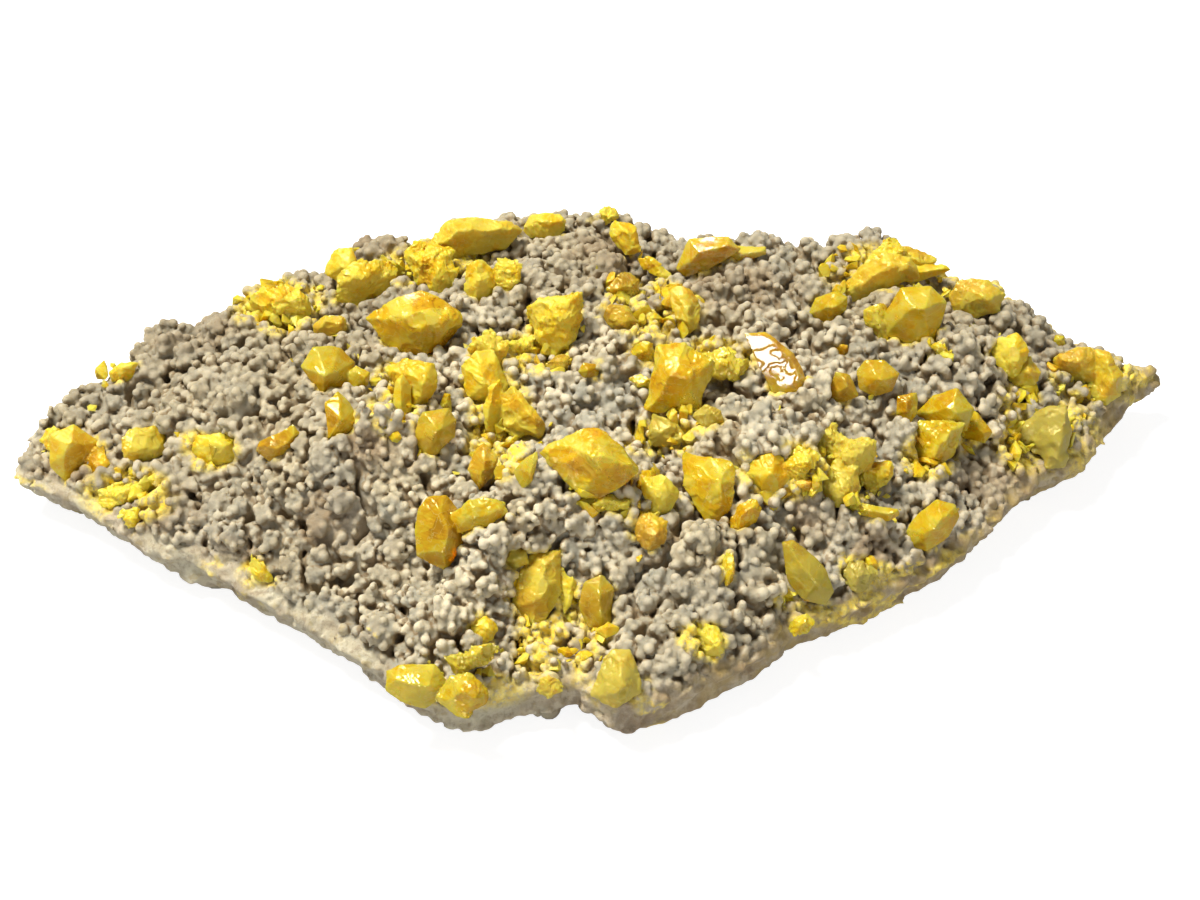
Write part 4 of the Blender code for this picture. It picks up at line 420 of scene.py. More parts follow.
def lattice(shape, step, cell, rng):
    """Smooth noise from -1 to 1 on a whole grid, from a coarse random one."""
    counts = [int(n * step / cell) + 3 for n in shape]
    field = (rng.random(counts) * 2.0 - 1.0).astype(np.float32)
    for axis, n in enumerate(shape):
        at = np.arange(n) * (step / cell)
        low = at.astype(int)
        w = (at - low).astype(np.float32)
        w = w * w * (3.0 - 2.0 * w)
        w = w.reshape([-1 if a == axis else 1 for a in range(len(shape))])
        field = np.take(field, low, axis=axis) * (1.0 - w) + np.take(field, low + 1, axis=axis) * w
    return field


def smooth_max(a, b, k):
    h = np.clip(0.5 + 0.5 * (a - b) / k, 0.0, 1.0)
    return b + (a - b) * h + k * h * (1.0 - h)


CORNERS = [(i, j, k) for i in (0, 1) for j in (0, 1) for k in (0, 1)]
EDGES = [(c, a) for c in CORNERS for a in range(3) if c[a] == 0]


def surface_nets(f):
    """Vertices (in cells) and quads of the zero level of a grid, negative inside."""
    inside = f < 0
    count = np.zeros(tuple(n - 1 for n in f.shape), np.int8)
    for i, j, k in CORNERS:
        count += inside[i:f.shape[0] - 1 + i, j:f.shape[1] - 1 + j, k:f.shape[2] - 1 + k]
    active = (count > 0) & (count < 8)
    cell = np.argwhere(active)
    index = np.full(active.shape, -1, np.int32)
    index[active] = np.arange(len(cell), dtype=np.int32)
    total = np.zeros((len(cell), 3), np.float32)
    crossings = np.zeros(len(cell), np.float32)
    ci, cj, ck = cell.T
    for (i, j, k), axis in EDGES:
        step = [0, 0, 0]
        step[axis] = 1
        fa = f[ci + i, cj + j, ck + k]
        fb = f[ci + i + step[0], cj + j + step[1], ck + k + step[2]]
        hit = (fa < 0) != (fb < 0)
        t = fa[hit] / (fa[hit] - fb[hit])
        point = np.tile(np.array([i, j, k], np.float32), (int(hit.sum()), 1))
        point[:, axis] += t
        total[hit] += point
        crossings[hit] += 1.0
    verts = cell + total / crossings[:, None]
    quads = []
    for axis in range(3):
        u, v = [a for a in range(3) if a != axis]
        if axis == 1:
            u, v = v, u
        low = [slice(None)] * 3
        high = [slice(None)] * 3
        low[axis] = slice(0, f.shape[axis] - 1)
        high[axis] = slice(1, f.shape[axis])
        for a in (u, v):
            low[a] = slice(1, f.shape[a] - 1)
            high[a] = slice(1, f.shape[a] - 1)
        lo, hi = inside[tuple(low)], inside[tuple(high)]
        for flip in (False, True):
            at = np.argwhere(lo & ~hi) if not flip else np.argwhere(~lo & hi)
            if not len(at):
                continue
            at[:, u] += 1
            at[:, v] += 1
            ring = []
            for du, dv in ((1, 1), (0, 1), (0, 0), (1, 0)):
                c = at.copy()
                c[:, u] -= du
                c[:, v] -= dv
                ring.append(index[c[:, 0], c[:, 1], c[:, 2]])
            quad = np.stack(ring, axis=1)
            quads.append(quad[:, ::-1] if flip else quad)
    return verts, np.concatenate(quads)


def sample(f, at):
    """The grid's value at fractional cells, straight between its points."""
    top = np.array(f.shape) - 1.001
    at = np.clip(at, 0.0, top)
    i = at.astype(int)
    w = (at - i).astype(np.float32)
    out = np.zeros(len(at), np.float32)
    for dx, dy, dz in CORNERS:
        out += (f[i[:, 0] + dx, i[:, 1] + dy, i[:, 2] + dz]
                * (w[:, 0] if dx else 1 - w[:, 0])
                * (w[:, 1] if dy else 1 - w[:, 1])
                * (w[:, 2] if dz else 1 - w[:, 2]))
    return out


def slope(f, at, reach=0.6):
    out = np.empty((len(at), 3), np.float32)
    for axis in range(3):
        step = np.zeros(3)
        step[axis] = reach
        out[:, axis] = sample(f, at + step) - sample(f, at - step)
    return out / np.maximum(np.linalg.norm(out, axis=1, keepdims=True), 1e-9)


def mesh_from(name, verts_mm, quads, normals=None, attributes=None, ngon=None):
    mesh = bpy.data.meshes.new(name)
    mesh.vertices.add(len(verts_mm))
    mesh.vertices.foreach_set("co", (np.asarray(verts_mm) * MM).astype(np.float32).ravel())
    corners = np.asarray(quads, np.int32).ravel()
    starts = np.arange(0, len(corners), np.asarray(quads).shape[1], dtype=np.int32)
    if ngon is not None:
        starts = np.append(starts, len(corners)).astype(np.int32)
        corners = np.append(corners, ngon).astype(np.int32)
    mesh.loops.add(len(corners))
    mesh.loops.foreach_set("vertex_index", corners)
    mesh.polygons.add(len(starts))
    mesh.polygons.foreach_set("loop_start", starts)
    mesh.update(calc_edges=True)
    mesh.validate()
    mesh.polygons.foreach_set("use_smooth", np.ones(len(mesh.polygons), bool))
    for key, values in (attributes or {}).items():
        layer = mesh.attributes.new(key, "FLOAT", "POINT")
        layer.data.foreach_set("value", np.asarray(values, np.float32))
    if normals is not None:
        layer = mesh.attributes.new("custom_normal", "FLOAT_VECTOR", "POINT")
        layer.data.foreach_set("vector", np.asarray(normals, np.float32).ravel())
    return mesh


def add_piece(name, mesh, look, nodes=()):
    piece = bpy.data.objects.new(name, mesh)
    bpy.context.scene.collection.objects.link(piece)
    mesh.materials.clear()
    mesh.materials.append(look)
    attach(piece, "root")
    if nodes:
        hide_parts(*nodes)
    return piece


# ------------------------------------------------------------ the crystals
# Faces turned a little so that they catch a window: (edge, turn).
TURNED = {"mirror_gem": {5: 80.0}, "skyline_gem": {1: 57.0}}
PLANES = {}
for spec in CRYSTALS + SMALL:
    for edge, turn in TURNED.get(spec[0], {}).items():
        u, v, _ = spec[2][edge]
        spec[2][edge] = (u, v, turn)
    PLANES[spec[0]] = crystal_planes(spec)


def plain_crystal(p, name):
    """How far points lie outside a crystal's plain faces, in mm."""
    centre, size, planes = PLANES[name]
    out = np.full(len(p), -1e9, np.float32)
    for n, d in planes:
        out = np.maximum(out, (p @ n - d).astype(np.float32))
    return out


# Roundness of the edges, growth steps, pits and tears in mm, by habit.
HABITS = {
    #          round  wave  step  pit   tear  bites
    "gem":    (0.04, 0.02, 0.09, 0.00, 0.00, 0),
    "broken": (0.04, 0.06, 0.26, 0.03, 0.12, 3),
    "etched": (0.09, 0.12, 0.20, 0.10, 0.08, 1),
    "ragged": (0.07, 0.16, 0.42, 0.12, 0.70, 2),
}


# How far from a plain face its finish can reach, in mm.
BAND = {"gem": 0.45, "broken": 0.85, "etched": 0.85, "ragged": 1.4}


BITES = {"blocky_great": 1, "great_left": 5, "broken_great": 5, "great_dipyramid": 4, "back_tilt": 1}


# Masses with no faces of their own left, eaten away by this many mm.
WILD = {"olive_right": 1.5, "olive_translucent": 0.7, "translucent_great": 0.9, "translucent_foot": 0.5,
        "right_end_long": 0.5, "fringe_mass": 0.6, "bright_etched": 0.7, "dull_under": 0.6}


def finished_crystal(p, spec):
    """As plain_crystal, with the habit's steps, pits, breaks and tears."""
    name, habit = spec[0], spec[7]
    centre, size, planes = PLANES[name]
    rng = random_for(name)
    soft, wave, step, pit, tear, bites = HABITS[habit]
    seed = int(rng.integers(1, 10000))
    bites = BITES.get(name, bites)
    q = p - centre
    rough = plain_crystal(p, name)
    wild = WILD.get(name, 0.0)
    near = (rough < BAND[habit]) & (rough > -BAND[habit] - (0.09 * size if bites else 0.0) - 2.4 * wild)
    out = rough.copy()
    if not near.any():
        return out
    z = p[near]
    zq = q[near]
    values = np.stack([(z @ n - d) for n, d in planes], axis=1).astype(np.float32)
    # growth steps: each face lies in thin layers with wandering edges
    for k, (n, d) in enumerate(planes):
        if step:
            layer = fractal(zq + 13.7 * k, 2.6 + 0.12 * size, seed + k, 2) * 2.4
            values[:, k] += step * (np.floor(layer) + ease(0.35, 0.65, layer - np.floor(layer)))
    top = values.max(axis=1)
    f = top + soft * np.log(np.exp((values - top[:, None]) / soft).sum(axis=1))
    if wave:
        f = f + wave * fractal(zq, 1.6, seed + 50, 3)
    if wild:
        f = f + wild * np.clip(0.55 + 1.7 * fractal(zq, 0.42 * size + 1.6, seed + 30, 3), -0.1, 2.2)
    if pit:
        cell = hash_noise(zq / 0.55, seed + 60)
        f = f + pit * np.clip(cell, 0.0, 1.0) * 1.6
    if tear:
        lay = rng.normal(size=3)
        lay /= np.linalg.norm(lay)
        sheet = fractal(zq * 0.9 + 5.0, 2.3, seed + 70, 3)
        bands = (zq @ lay) / 0.85 + 1.2 * sheet
        f = f + tear * (0.55 * np.clip(sheet + 0.15, -0.3, 1.0) + 0.35 * (bands - np.floor(bands)))
    for _ in range(bites):
        # a shell-shaped break: a shallow dish with rings round its start
        toward = rng.normal(size=3)
        toward += 1.1 * np.array([0.0, -math.cos(SIGHT_RISE), math.sin(SIGHT_RISE)])
        toward /= np.linalg.norm(toward)
        reach = 1e9
        for n, d in planes:
            along = n.dot(toward)
            if along > 1e-6:
                reach = min(reach, (d - n.dot(centre)) / along)
        radius = size * rng.uniform(0.22, 0.75)
        deep = min(size * rng.uniform(0.02, 0.06), 0.3 * radius)
        hub = centre + toward * (reach + radius - deep)
        far = np.linalg.norm(z - hub, axis=1)
        start = hub - toward * radius + rng.normal(size=3) * size * 0.35
        rings = np.sin(np.linalg.norm(z - start, axis=1) * (2.0 * math.pi / (0.09 * size + 0.5)))
        f = np.maximum(f, (radius - far) + 0.03 * rings + 0.05 * fractal(zq, 1.1, seed + 90, 2))
    out[near] = f
    return out


# The turn between two facets above which the edge between them is crisp.
CRISP = {"gem": 4.0, "broken": 5.0, "etched": 10.0, "ragged": 9.0}


def edge_nearness(p, spec):
    """1 on a crystal's edges, falling to 0 half a millimetre or so away."""
    centre, size, planes = PLANES[spec[0]]
    values = np.stack([(p @ n - d) for n, d in planes], axis=1)
    values.sort(axis=1)
    return np.exp(-(values[:, -1] - values[:, -2]) / (0.30 + 0.02 * size))


# How deep the colour of each crystal is (0 pale lemon, 1 deep amber) and how
# cloudy it is; the rest take their habit's.
DEPTH = {"gem": 0.55, "broken": 0.50, "etched": 0.30, "ragged": 0.14}
CLOUD = {"gem": 0.25, "broken": 0.40, "etched": 0.60, "ragged": 0.65}
DULL = {
    "olive_right": 0.75, "olive_translucent": 0.55, "translucent_great": 0.30, "translucent_foot": 0.35,
    "shield": 0.42, "squat_left": 0.22, "dull_under": 0.85, "vug_main": 0.35, "vug_amber": 0.4, "egg": 0.30, "gem": 0.22,
    "front_big_right": 0.55, "right_end_long": 0.30, "right_end_amber": 0.22, "round_west": 0.25,
    "round_east": 0.15, "orange_gem": 0.08, "smooth_right": 0.35, "right_back_mass": 0.20,
    "arch_mass": 0.15, "fan_east": 0.15, "wedge": 0.15, "left_tip_crystal": 0.15, "deep_amber": 0.20,
    "grey_amber": 0.6, "dark_gem": 0.4, "hanging": 0.25, "pale_round": 0.25, "front_under": 0.4,
    "skyline_mass": 0.2, "rim_olive": 0.7, "right_back_upper": 0.25, "pale_round_foot": 0.2, "back_tilt": 0.25, "back_chunk": 0.35, "low_gem": 0.2,
}
TONES = {
    "right_back_upper": (0.35, 0.4), "golden_flake": (0.45, 0.4), "amber_bead": (0.75, 0.4),
    "pale_round_foot": (0.28, 0.6), "dipyramid_neighbour": (0.50, 0.4), "dipyramid_foot": (0.25, 0.6),
    "left_sheet_upper": (0.04, 0.8), "left_sheet_lower": (0.04, 0.8), "edge_wedge": (0.15, 0.5),
    "orange_gem": (0.85, 0.30), "orange_neighbour": (0.35, 0.5), "amber": (0.36, 0.2),
    "bright_gem": (0.25, 0.2), "tall_pale": (0.55, 0.55), "wedge": (0.70, 0.35),
    "deep_amber": (0.95, 0.3), "round_east": (0.72, 0.3), "round_west": (0.62, 0.2),
    "mirror_gem": (0.75, 0.25), "great_right_back": (0.42, 0.25), "great_left": (0.60, 0.3),
    "great_dipyramid": (0.58, 0.45), "blocky_great": (0.62, 0.4), "broken_great": (0.60, 0.45),
    "amber_below": (0.74, 0.2), "back_chunk": (0.80, 0.5), "back_tilt": (0.62, 0.4),
    "hanging": (0.45, 0.45), "skyline_gem": (0.60, 0.2), "left_tip_crystal": (0.58, 0.5),
    "left_tip_brown": (0.75, 0.5), "left_tip_blade": (0.35, 0.5), "squat_left": (0.25, 0.5),
    "left_pair_big": (0.35, 0.5), "pale_flake": (0.12, 0.55), "vug_main": (0.52, 0.4),
    "vug_pale": (0.15, 0.4), "egg": (0.50, 0.35), "lying_prism": (0.45, 0.3),
    "rim_crystal": (0.35, 0.35), "shield": (0.30, 0.35), "front_left": (0.28, 0.45),
    "front_left_second": (0.32, 0.6), "front_sheet": (0.18, 0.6), "big_right": (0.60, 0.3),
    "big_right_lower": (0.42, 0.4), "round_gem": (0.6, 0.3), "olive_right": (0.20, 0.6),
    "olive_translucent": (0.15, 0.35), "translucent_great": (0.38, 0.4),
    "translucent_flake": (0.15, 0.5), "bright_etched": (0.34, 0.25), "bright_flake": (0.08, 0.6),
    "right_end_long": (0.45, 0.45), "right_end_amber": (0.50, 0.35), "rounded_yellow": (0.32, 0.5),
    "twin_west": (0.28, 0.3), "twin_east": (0.42, 0.35), "gem": (0.42, 0.3),
    "dark_gem": (0.55, 0.05), "smooth_right": (0.42, 0.5), "right_back_mass": (0.42, 0.5),
    "middle_west": (0.45, 0.4), "middle_east": (0.35, 0.45), "ragged_left_top": (0.32, 0.5),
    "ragged_left_back": (0.38, 0.5), "skyline_mass": (0.32, 0.6), "back_mass_left": (0.38, 0.55),
    "low_gem": (0.50, 0.35), "thin_blade": (0.35, 0.3), "fan_east": (0.42, 0.35),
    "fan_west": (0.35, 0.35), "arch_mass": (0.30, 0.5), "arch_block": (0.40, 0.4),
}


def shape_crystal(specs, cell=None):
    """Vertices in mm and quads of the crystals of one piece, joined."""
    centres = np.array([PLANES[s[0]][0] for s in specs])
    sizes = np.array([PLANES[s[0]][1] for s in specs])
    right, up, out = sight_frame(600.0, 450.0)
    turn = 0.35
    a = right * math.cos(turn) + up * math.sin(turn)
    b = np.cross(out, a)
    axes = np.stack([a, b, out], axis=1)
    local = centres @ axes
    reach = (sizes * 1.05 + 1.0)[:, None]
    low = (local - reach).min(axis=0)
    high = (local + reach).max(axis=0)
    if cell is None:
        cell = float(np.clip(0.13 + 0.012 * sizes.max(), 0.16, 0.30))
    shape = np.ceil((high - low) / cell).astype(int) + 1
    # keep only the box that the plain crystal fills
    coarse = 3
    cs = np.ceil(shape / coarse).astype(int) + 1
    grid = np.stack(np.meshgrid(*[np.arange(n) for n in cs], indexing="ij"), axis=-1).reshape(-1, 3)
    p = (low + grid * (cell * coarse)) @ axes.T
    f = np.min([plain_crystal(p, s[0]) for s in specs], axis=0)
    kept = grid[f < 1.6]
    g0 = (kept.min(axis=0) - 1) * coarse
    g1 = (kept.max(axis=0) + 1) * coarse
    low = low + g0 * cell
    shape = g1 - g0 + 1
    grid = np.stack(np.meshgrid(*[np.arange(n) for n in shape], indexing="ij"), axis=-1).reshape(-1, 3)
    p = (low + grid * cell) @ axes.T
    f = np.full(len(p), 1e9, np.float32)
    for s in specs:
        f = np.minimum(f, finished_crystal(p, s))
    f = f.reshape(shape)
    f[0], f[-1], f[:, 0], f[:, -1], f[:, :, 0], f[:, :, -1] = (9.0,) * 6
    verts, quads = surface_nets(f)
    verts = (low + verts * cell) @ axes.T
    quads = keep_largest(len(verts), quads)
    used = np.unique(quads)
    renumber = np.zeros(len(verts), np.int32)
    renumber[used] = np.arange(len(used))
    return verts[used], renumber[quads]


def keep_largest(count, quads):
    """The faces of the largest connected part."""
    label = np.arange(count)
    for _ in range(400):
        low = label[quads].min(axis=1)
        new = label.copy()
        for k in range(4):
            np.minimum.at(new, quads[:, k], low)
        new = new[new]
        if (new == label).all():
            break
        label = new
    names, sizes = np.unique(label[quads[:, 0]], return_counts=True)
    return quads[label[quads[:, 0]] == names[sizes.argmax()]]


def thin_out(piece, ratio):
    """Fewer faces where the surface is flat."""
    fewer = piece.modifiers.new("fewer", "DECIMATE")
    fewer.ratio = ratio
    bpy.context.view_layer.update()
    graph = bpy.context.evaluated_depsgraph_get()
    mesh = bpy.data.meshes.new_from_object(piece.evaluated_get(graph), depsgraph=graph)
    old = piece.data
    piece.modifiers.clear()
    piece.data = mesh
    mesh.name = piece.name
    bpy.data.meshes.remove(old)


def colour_fields(piece, specs):
    mesh = piece.data
    co = np.empty(len(mesh.vertices) * 3, np.float32)
    mesh.vertices.foreach_get("co", co)
    p = co.reshape(-1, 3).astype(float) / MM
    values = np.stack([plain_crystal(p, s[0]) for s in specs], axis=1)
    owner = values.argmin(axis=1)
    depth = np.zeros(len(p))
    cloud = np.zeros(len(p))
    dull = np.zeros(len(p))
    edge = np.zeros(len(p))
    for k, s in enumerate(specs):
        mine = owner == k
        tone = TONES.get(s[0], (DEPTH[s[7]], CLOUD[s[7]]))
        depth[mine] = tone[0]
        cloud[mine] = tone[1]
        dull[mine] = DULL.get(s[0], 0.0)
        if mine.any():
            edge[mine] = edge_nearness(p[mine], s)
    for key, field in (("depth", depth), ("cloud", cloud), ("edge", edge), ("dull", dull)):
        layer = mesh.attributes.new(key, "FLOAT", "POINT")
        layer.data.foreach_set("value", field.astype(np.float32))
    mesh.shade_smooth()
    mesh.set_sharp_from_angle(angle=math.radians(CRISP[specs[0][7]]))


# --------------------------------------------------------------- the crust
def to_drawing(p):
    """Drawing position (u, v) of points in mm."""
    q = p - EYE
    far = -(q @ S_OUT)
    return 600.0 + FOCAL * (q @ S_RIGHT) / far, 450.0 - FOCAL * (q @ S_UP) / far


def zone(u, v, spots):
    """1 inside any of the (u, v, half width, half height) spots, fading out."""
    out = np.zeros(len(u), np.float32)
    for cu, cv, w, h in spots:
        q = ((u - cu) / w) ** 2 + ((v - cv) / h) ** 2
        out = np.maximum(out, 1.0 - ease(0.5, 1.3, q))
    return out


# Where the knobs are stained brown, where the crust stays smooth and grey, and
# where it is sulfur instead.
BROWN_SPOTS = [(385, 448, 42, 34), (820, 515, 34, 26), (600, 258, 40, 26), (165, 505, 44, 26),
               (745, 288, 60, 26), (186, 330, 50, 24), (375, 243, 30, 16), (880, 545, 30, 20),
               (225, 552, 36, 18), (336, 520, 44, 34), (60, 480, 50, 22), (1010, 480, 60, 24)]
SMOOTH_SPOTS = [(352, 520, 46, 30), (700, 592, 44, 26), (600, 395, 36, 26), (815, 500, 40, 30),
                (230, 400, 34, 22), (175, 345, 40, 18), (650, 590, 30, 24), (430, 560, 26, 30),
                (1090, 470, 60, 40), (90, 395, 40, 20), (760, 560, 40, 24), (300, 620, 40, 30)]
YELLOW_SPOTS = [(128, 495, 50, 30), (558, 655, 44, 36), (1020, 402, 24, 20), (1050, 440, 40, 34),
                (275, 310, 44, 26), (940, 360, 16, 10), (800, 600, 34, 12), (645, 300, 50, 24),
                (520, 590, 24, 30), (470, 690, 60, 20), (620, 690, 36, 24), (700, 640, 24, 20),
                (660, 440, 44, 18), (250, 575, 16, 14), (115, 372, 20, 12), (850, 480, 40, 26),
                (870, 575, 30, 16), (500, 408, 34, 34), (540, 352, 34, 24), (440, 258, 50, 22),
                (205, 450, 36, 22), (650, 505, 34, 30), (700, 360, 60, 24), (900, 275, 60, 20),
                (955, 435, 30, 20), (878, 272, 56, 30), (978, 288, 44, 20), (1095, 378, 48, 26),
                (1050, 440, 56, 42), (785, 470, 52, 32), (655, 312, 50, 28), (498, 440, 32, 44),
                (410, 268, 34, 20), (285, 300, 42, 24), (565, 630, 50, 44),
                (620, 490, 50, 26), (680, 420, 40, 22), (930, 455, 30, 26), (395, 400, 30, 40)]


def sight_prism(spec):
    """The space in front of a crystal, which no crust may fill."""
    centre, size, planes = PLANES[spec[0]]
    far = (EYE - centre) @ S_OUT
    ring = np.array([EYE + (S_RIGHT * (c[0] - 600.0) / FOCAL + S_UP * (450.0 - c[1]) / FOCAL - S_OUT) * far
                     for c in spec[2]])
    out = (EYE - centre) / np.linalg.norm(EYE - centre)
    mid = ring.mean(axis=0)
    sides = [(-out, -out.dot(centre) + 0.12 * size)]
    for a, b in zip(ring, np.roll(ring, -1, axis=0)):
        n = np.cross(b - a, out)
        n = n / np.linalg.norm(n)
        if n.dot(a - mid) < 0:
            n = -n
        sides.append((n, n.dot(a)))
    return sides


PRISMS = {spec[0]: sight_prism(spec) for spec in CRYSTALS + SMALL}


def in_front(p, name):
    out = np.full(len(p), -1e9, np.float32)
    for n, d in PRISMS[name]:
        out = np.maximum(out, (p @ n - d).astype(np.float32))
    return out


def nearest_crystal(p, reach=4.0, front=True):
    """Distance in mm from points to the nearest crystal, or to the space in
    front of it, negative inside."""
    best = np.full(len(p), reach, np.float32)
    for name, (centre, size, planes) in PLANES.items():
        q = p - centre
        near = (q * q).sum(axis=1) < (size * 1.3 + reach) ** 2
        if near.any():
            away = plain_crystal(p[near], name)
            if front:
                away = np.minimum(away, in_front(p[near], name))
            best[near] = np.minimum(best[near], away)
    return best


def spread_out(points, gap, rng):
    """Picks points so that none lies nearer than its gap to another."""
    order = rng.permutation(len(points))
    biggest = float(gap.max())
    cells = {}
    picked = []
    keys = np.floor(points / biggest).astype(int)
    for i in order:
        kx, ky, kz = keys[i]
        p, g = points[i], gap[i]
        free = True
        for dx in (-1, 0, 1):
            for dy in (-1, 0, 1):
                for dz in (-1, 0, 1):
                    for j in cells.get((kx + dx, ky + dy, kz + dz), ()):
                        q = points[j]
                        if (p[0] - q[0]) ** 2 + (p[1] - q[1]) ** 2 + (p[2] - q[2]) ** 2 < g * g:
                            free = False
                            break
                    if not free:
                        break
                if not free:
                    break
            if not free:
                break
        if free:
            cells.setdefault((kx, ky, kz), []).append(i)
            picked.append(i)
    return np.array(picked)


def rim_line(x, y):
    """Height on the side above which the crust hangs over it."""
    front = 2.3 + 6.1 * ease(-5.0, 45.0, x)
    return front + 8.0 * ease(0.0, 45.0, y)


CRUST_FACES = 620000.0


def bare_rim(x, y):
    """Width in mm of the bare rock round the edge: widest at the front left."""
    left = ease(6.0, -14.0, x) * ease(14.0, 2.0, y)
    right = ease(10.0, 40.0, x) * ease(38.0, 20.0, y)
    return 0.3 + 0.6 * left + 0.5 * right + 0.8 * hash_noise(np.stack([x, y, 0.0 * x], axis=1) / 5.0, 41)


def drawn_forward(x, y):
    """The left end of the finished plate lies a little nearer the viewer."""
    return y + 2.8 * ease(-54.0, -86.0, x)


def undercut(x, y, z):
    """Inset in mm of the broken side, which is cut under less at both ends."""
    ends = ease(14.0, 62.0, np.abs(x)) * ease(40.0, 10.0, y)
    return wall_inset(z) - 4.6 * (1.0 - ease(0.0, 4.0, z)) * ends - 0.35


def rim_room(p):
    """How far in mm points lie inside the crust's own edge."""
    x, y = p[:, 0] / tip_draw(p[:, 2]), p[:, 1]
    return inset_from_edge(x, drawn_forward(x, y)) - bare_rim(p[:, 0], y)


def build_crust(cell):
    rng = np.random.default_rng(20260)
    x0, y0, z0 = -113.0, -67.0, -0.5 * cell
    xs = np.arange(x0, 113.0, cell)
    ys = np.arange(y0, 67.0, cell)
    zs = np.arange(z0, 46.0, cell)
    gx, gy = np.meshgrid(xs, ys, indexing="ij")
    d = inset_from_edge(gx, drawn_forward(gx, gy))
    # the knobs raise the surface by about this much again
    top = crust_top(gx, gy, d) - 0.8 - 0.7 * ease(30.0, 48.0, gy) - 1.8 * ease(93.0, 107.0, np.abs(gx))
    shape = (len(xs), len(ys), len(zs))
    swell = (2.2 * lattice(shape[:2], cell, 9.5, rng) + 1.0 * lattice(shape[:2], cell, 4.6, rng))
    # a network of creases that parts the crust into mounds
    crease = (lattice(shape[:2], cell, 9.5, rng) + 0.5 * lattice(shape[:2], cell, 4.5, rng)) / 0.12
    swell -= 3.9 * np.exp(-crease * crease)
    flat_noise = lattice(shape[:2], cell, 15.0, rng)
    rough = (0.5 * lattice(shape, cell, 3.6, rng) + 0.28 * lattice(shape, cell, 1.7, rng)
             + 0.14 * lattice(shape, cell, 0.9, rng))
    f = np.empty(shape, np.float32)
    along = (xs - x0) / cell
    for k, z in enumerate(zs):
        at = (xs / tip_draw(z) - x0) / cell
        low = np.clip(np.floor(at).astype(int), 0, len(xs) - 2)
        w = (at - low)[:, None]
        dz = d[low] * (1.0 - w) + d[low + 1] * w
        ledge = 0.7 * math.sin(z * 1.15 + 0.8) + 0.45 * math.sin(z * 2.7)
        wall = undercut(gx, gy, z) - dz + 1.1 * rough[:, :, k] + ledge * (0.55 + 0.45 * flat_noise) * 0.6
        above = (z - top - swell * ease(0.0, 5.0, d) - 0.45 * rough[:, :, k]) * 0.85
        f[:, :, k] = smooth_max(above, wall, 2.2)
    say("crust: plain field %s" % (shape,))

    origin = np.array([x0, y0, z0])

    def splat(c, r, blend):
        reach = r + 2.2 * blend
        i0 = np.maximum(((c - reach - origin) / cell).astype(int), 0)
        i1 = np.minimum(((c + reach - origin) / cell).astype(int) + 2, shape)
        if (i1 <= i0).any():
            return
        px = xs[i0[0]:i1[0]] - c[0]
        py = ys[i0[1]:i1[1]] - c[1]
        pz = zs[i0[2]:i1[2]] - c[2]
        g = np.sqrt(px[:, None, None] ** 2 + py[None, :, None] ** 2 + pz[None, None, :] ** 2) - r
        block = f[i0[0]:i1[0], i0[1]:i1[1], i0[2]:i1[2]]
        h = np.clip(0.5 + 0.5 * (block - g) / blend, 0.0, 1.0)
        block[...] = block + (g - block) * h - blend * h * (1.0 - h)

    # room for the crystals
    for name, (centre, size, planes) in PLANES.items():
        reach = size * 1.35 + 3.0
        i0 = np.maximum(((centre - reach - origin) / cell).astype(int), 0)
        i1 = np.minimum(((centre + reach - origin) / cell).astype(int) + 2, shape)
        grid = np.stack(np.meshgrid(xs[i0[0]:i1[0]], ys[i0[1]:i1[1]], zs[i0[2]:i1[2]], indexing="ij"), axis=-1)
        front = in_front(grid.reshape(-1, 3), name).reshape(grid.shape[:3])
        block = f[i0[0]:i1[0], i0[1]:i1[1], i0[2]:i1[2]]
        block[...] = smooth_max(block, -front, 0.5)

    # domes that the knobs grow on, like the heads of a cauliflower
    verts, quads = surface_nets(f[::3, ::3, ::3])
    at = verts * 3
    p = origin + at * cell
    n = slope(f, at, 1.5)
    hang = p[:, 2] - rim_line(p[:, 0], p[:, 1]) + 2.5 * hash_noise(p / 6.0, 5)
    keep = (hang > 0.5) & (nearest_crystal(p, 6.0) > 0.3)
    p, n = p[keep], n[keep]
    u, v = to_drawing(p)
    size = 1.5 + 3.2 * rng.random(len(p)) ** 1.7
    size = np.minimum(size, 0.6 + nearest_crystal(p, 6.0) * 0.9)
    size = np.minimum(size, 0.4 + rim_room(p) * 0.8)
    size = np.minimum(size, 4.6 - 2.8 * ease(28.0, 45.0, p[:, 1]))
    chosen = spread_out(p, size * (1.85 + 0.8 * zone(u, v, SMOOTH_SPOTS)), rng)
    for i in chosen:
        if size[i] > 1.0:
            splat(p[i] + n[i] * size[i] * rng.uniform(-0.15, 0.42), size[i], 0.45)
    say("crust: %d domes" % len(chosen))

    # knobs, spread over the surface above the rim line
    base = f
    step = 2
    verts, quads = surface_nets(base[::step, ::step, ::step])
    at = verts * step
    p = origin + at * cell
    n = slope(base, at, 1.2)
    u, v = to_drawing(p)
    hang = p[:, 2] - rim_line(p[:, 0], p[:, 1]) + 2.5 * hash_noise(p / 6.0, 5)
    keep = (hang > 0.0) & (p[:, 2] > 1.0) & (rim_room(p) > 0.0)
    keep &= nearest_crystal(p, 2.0) > 0.3
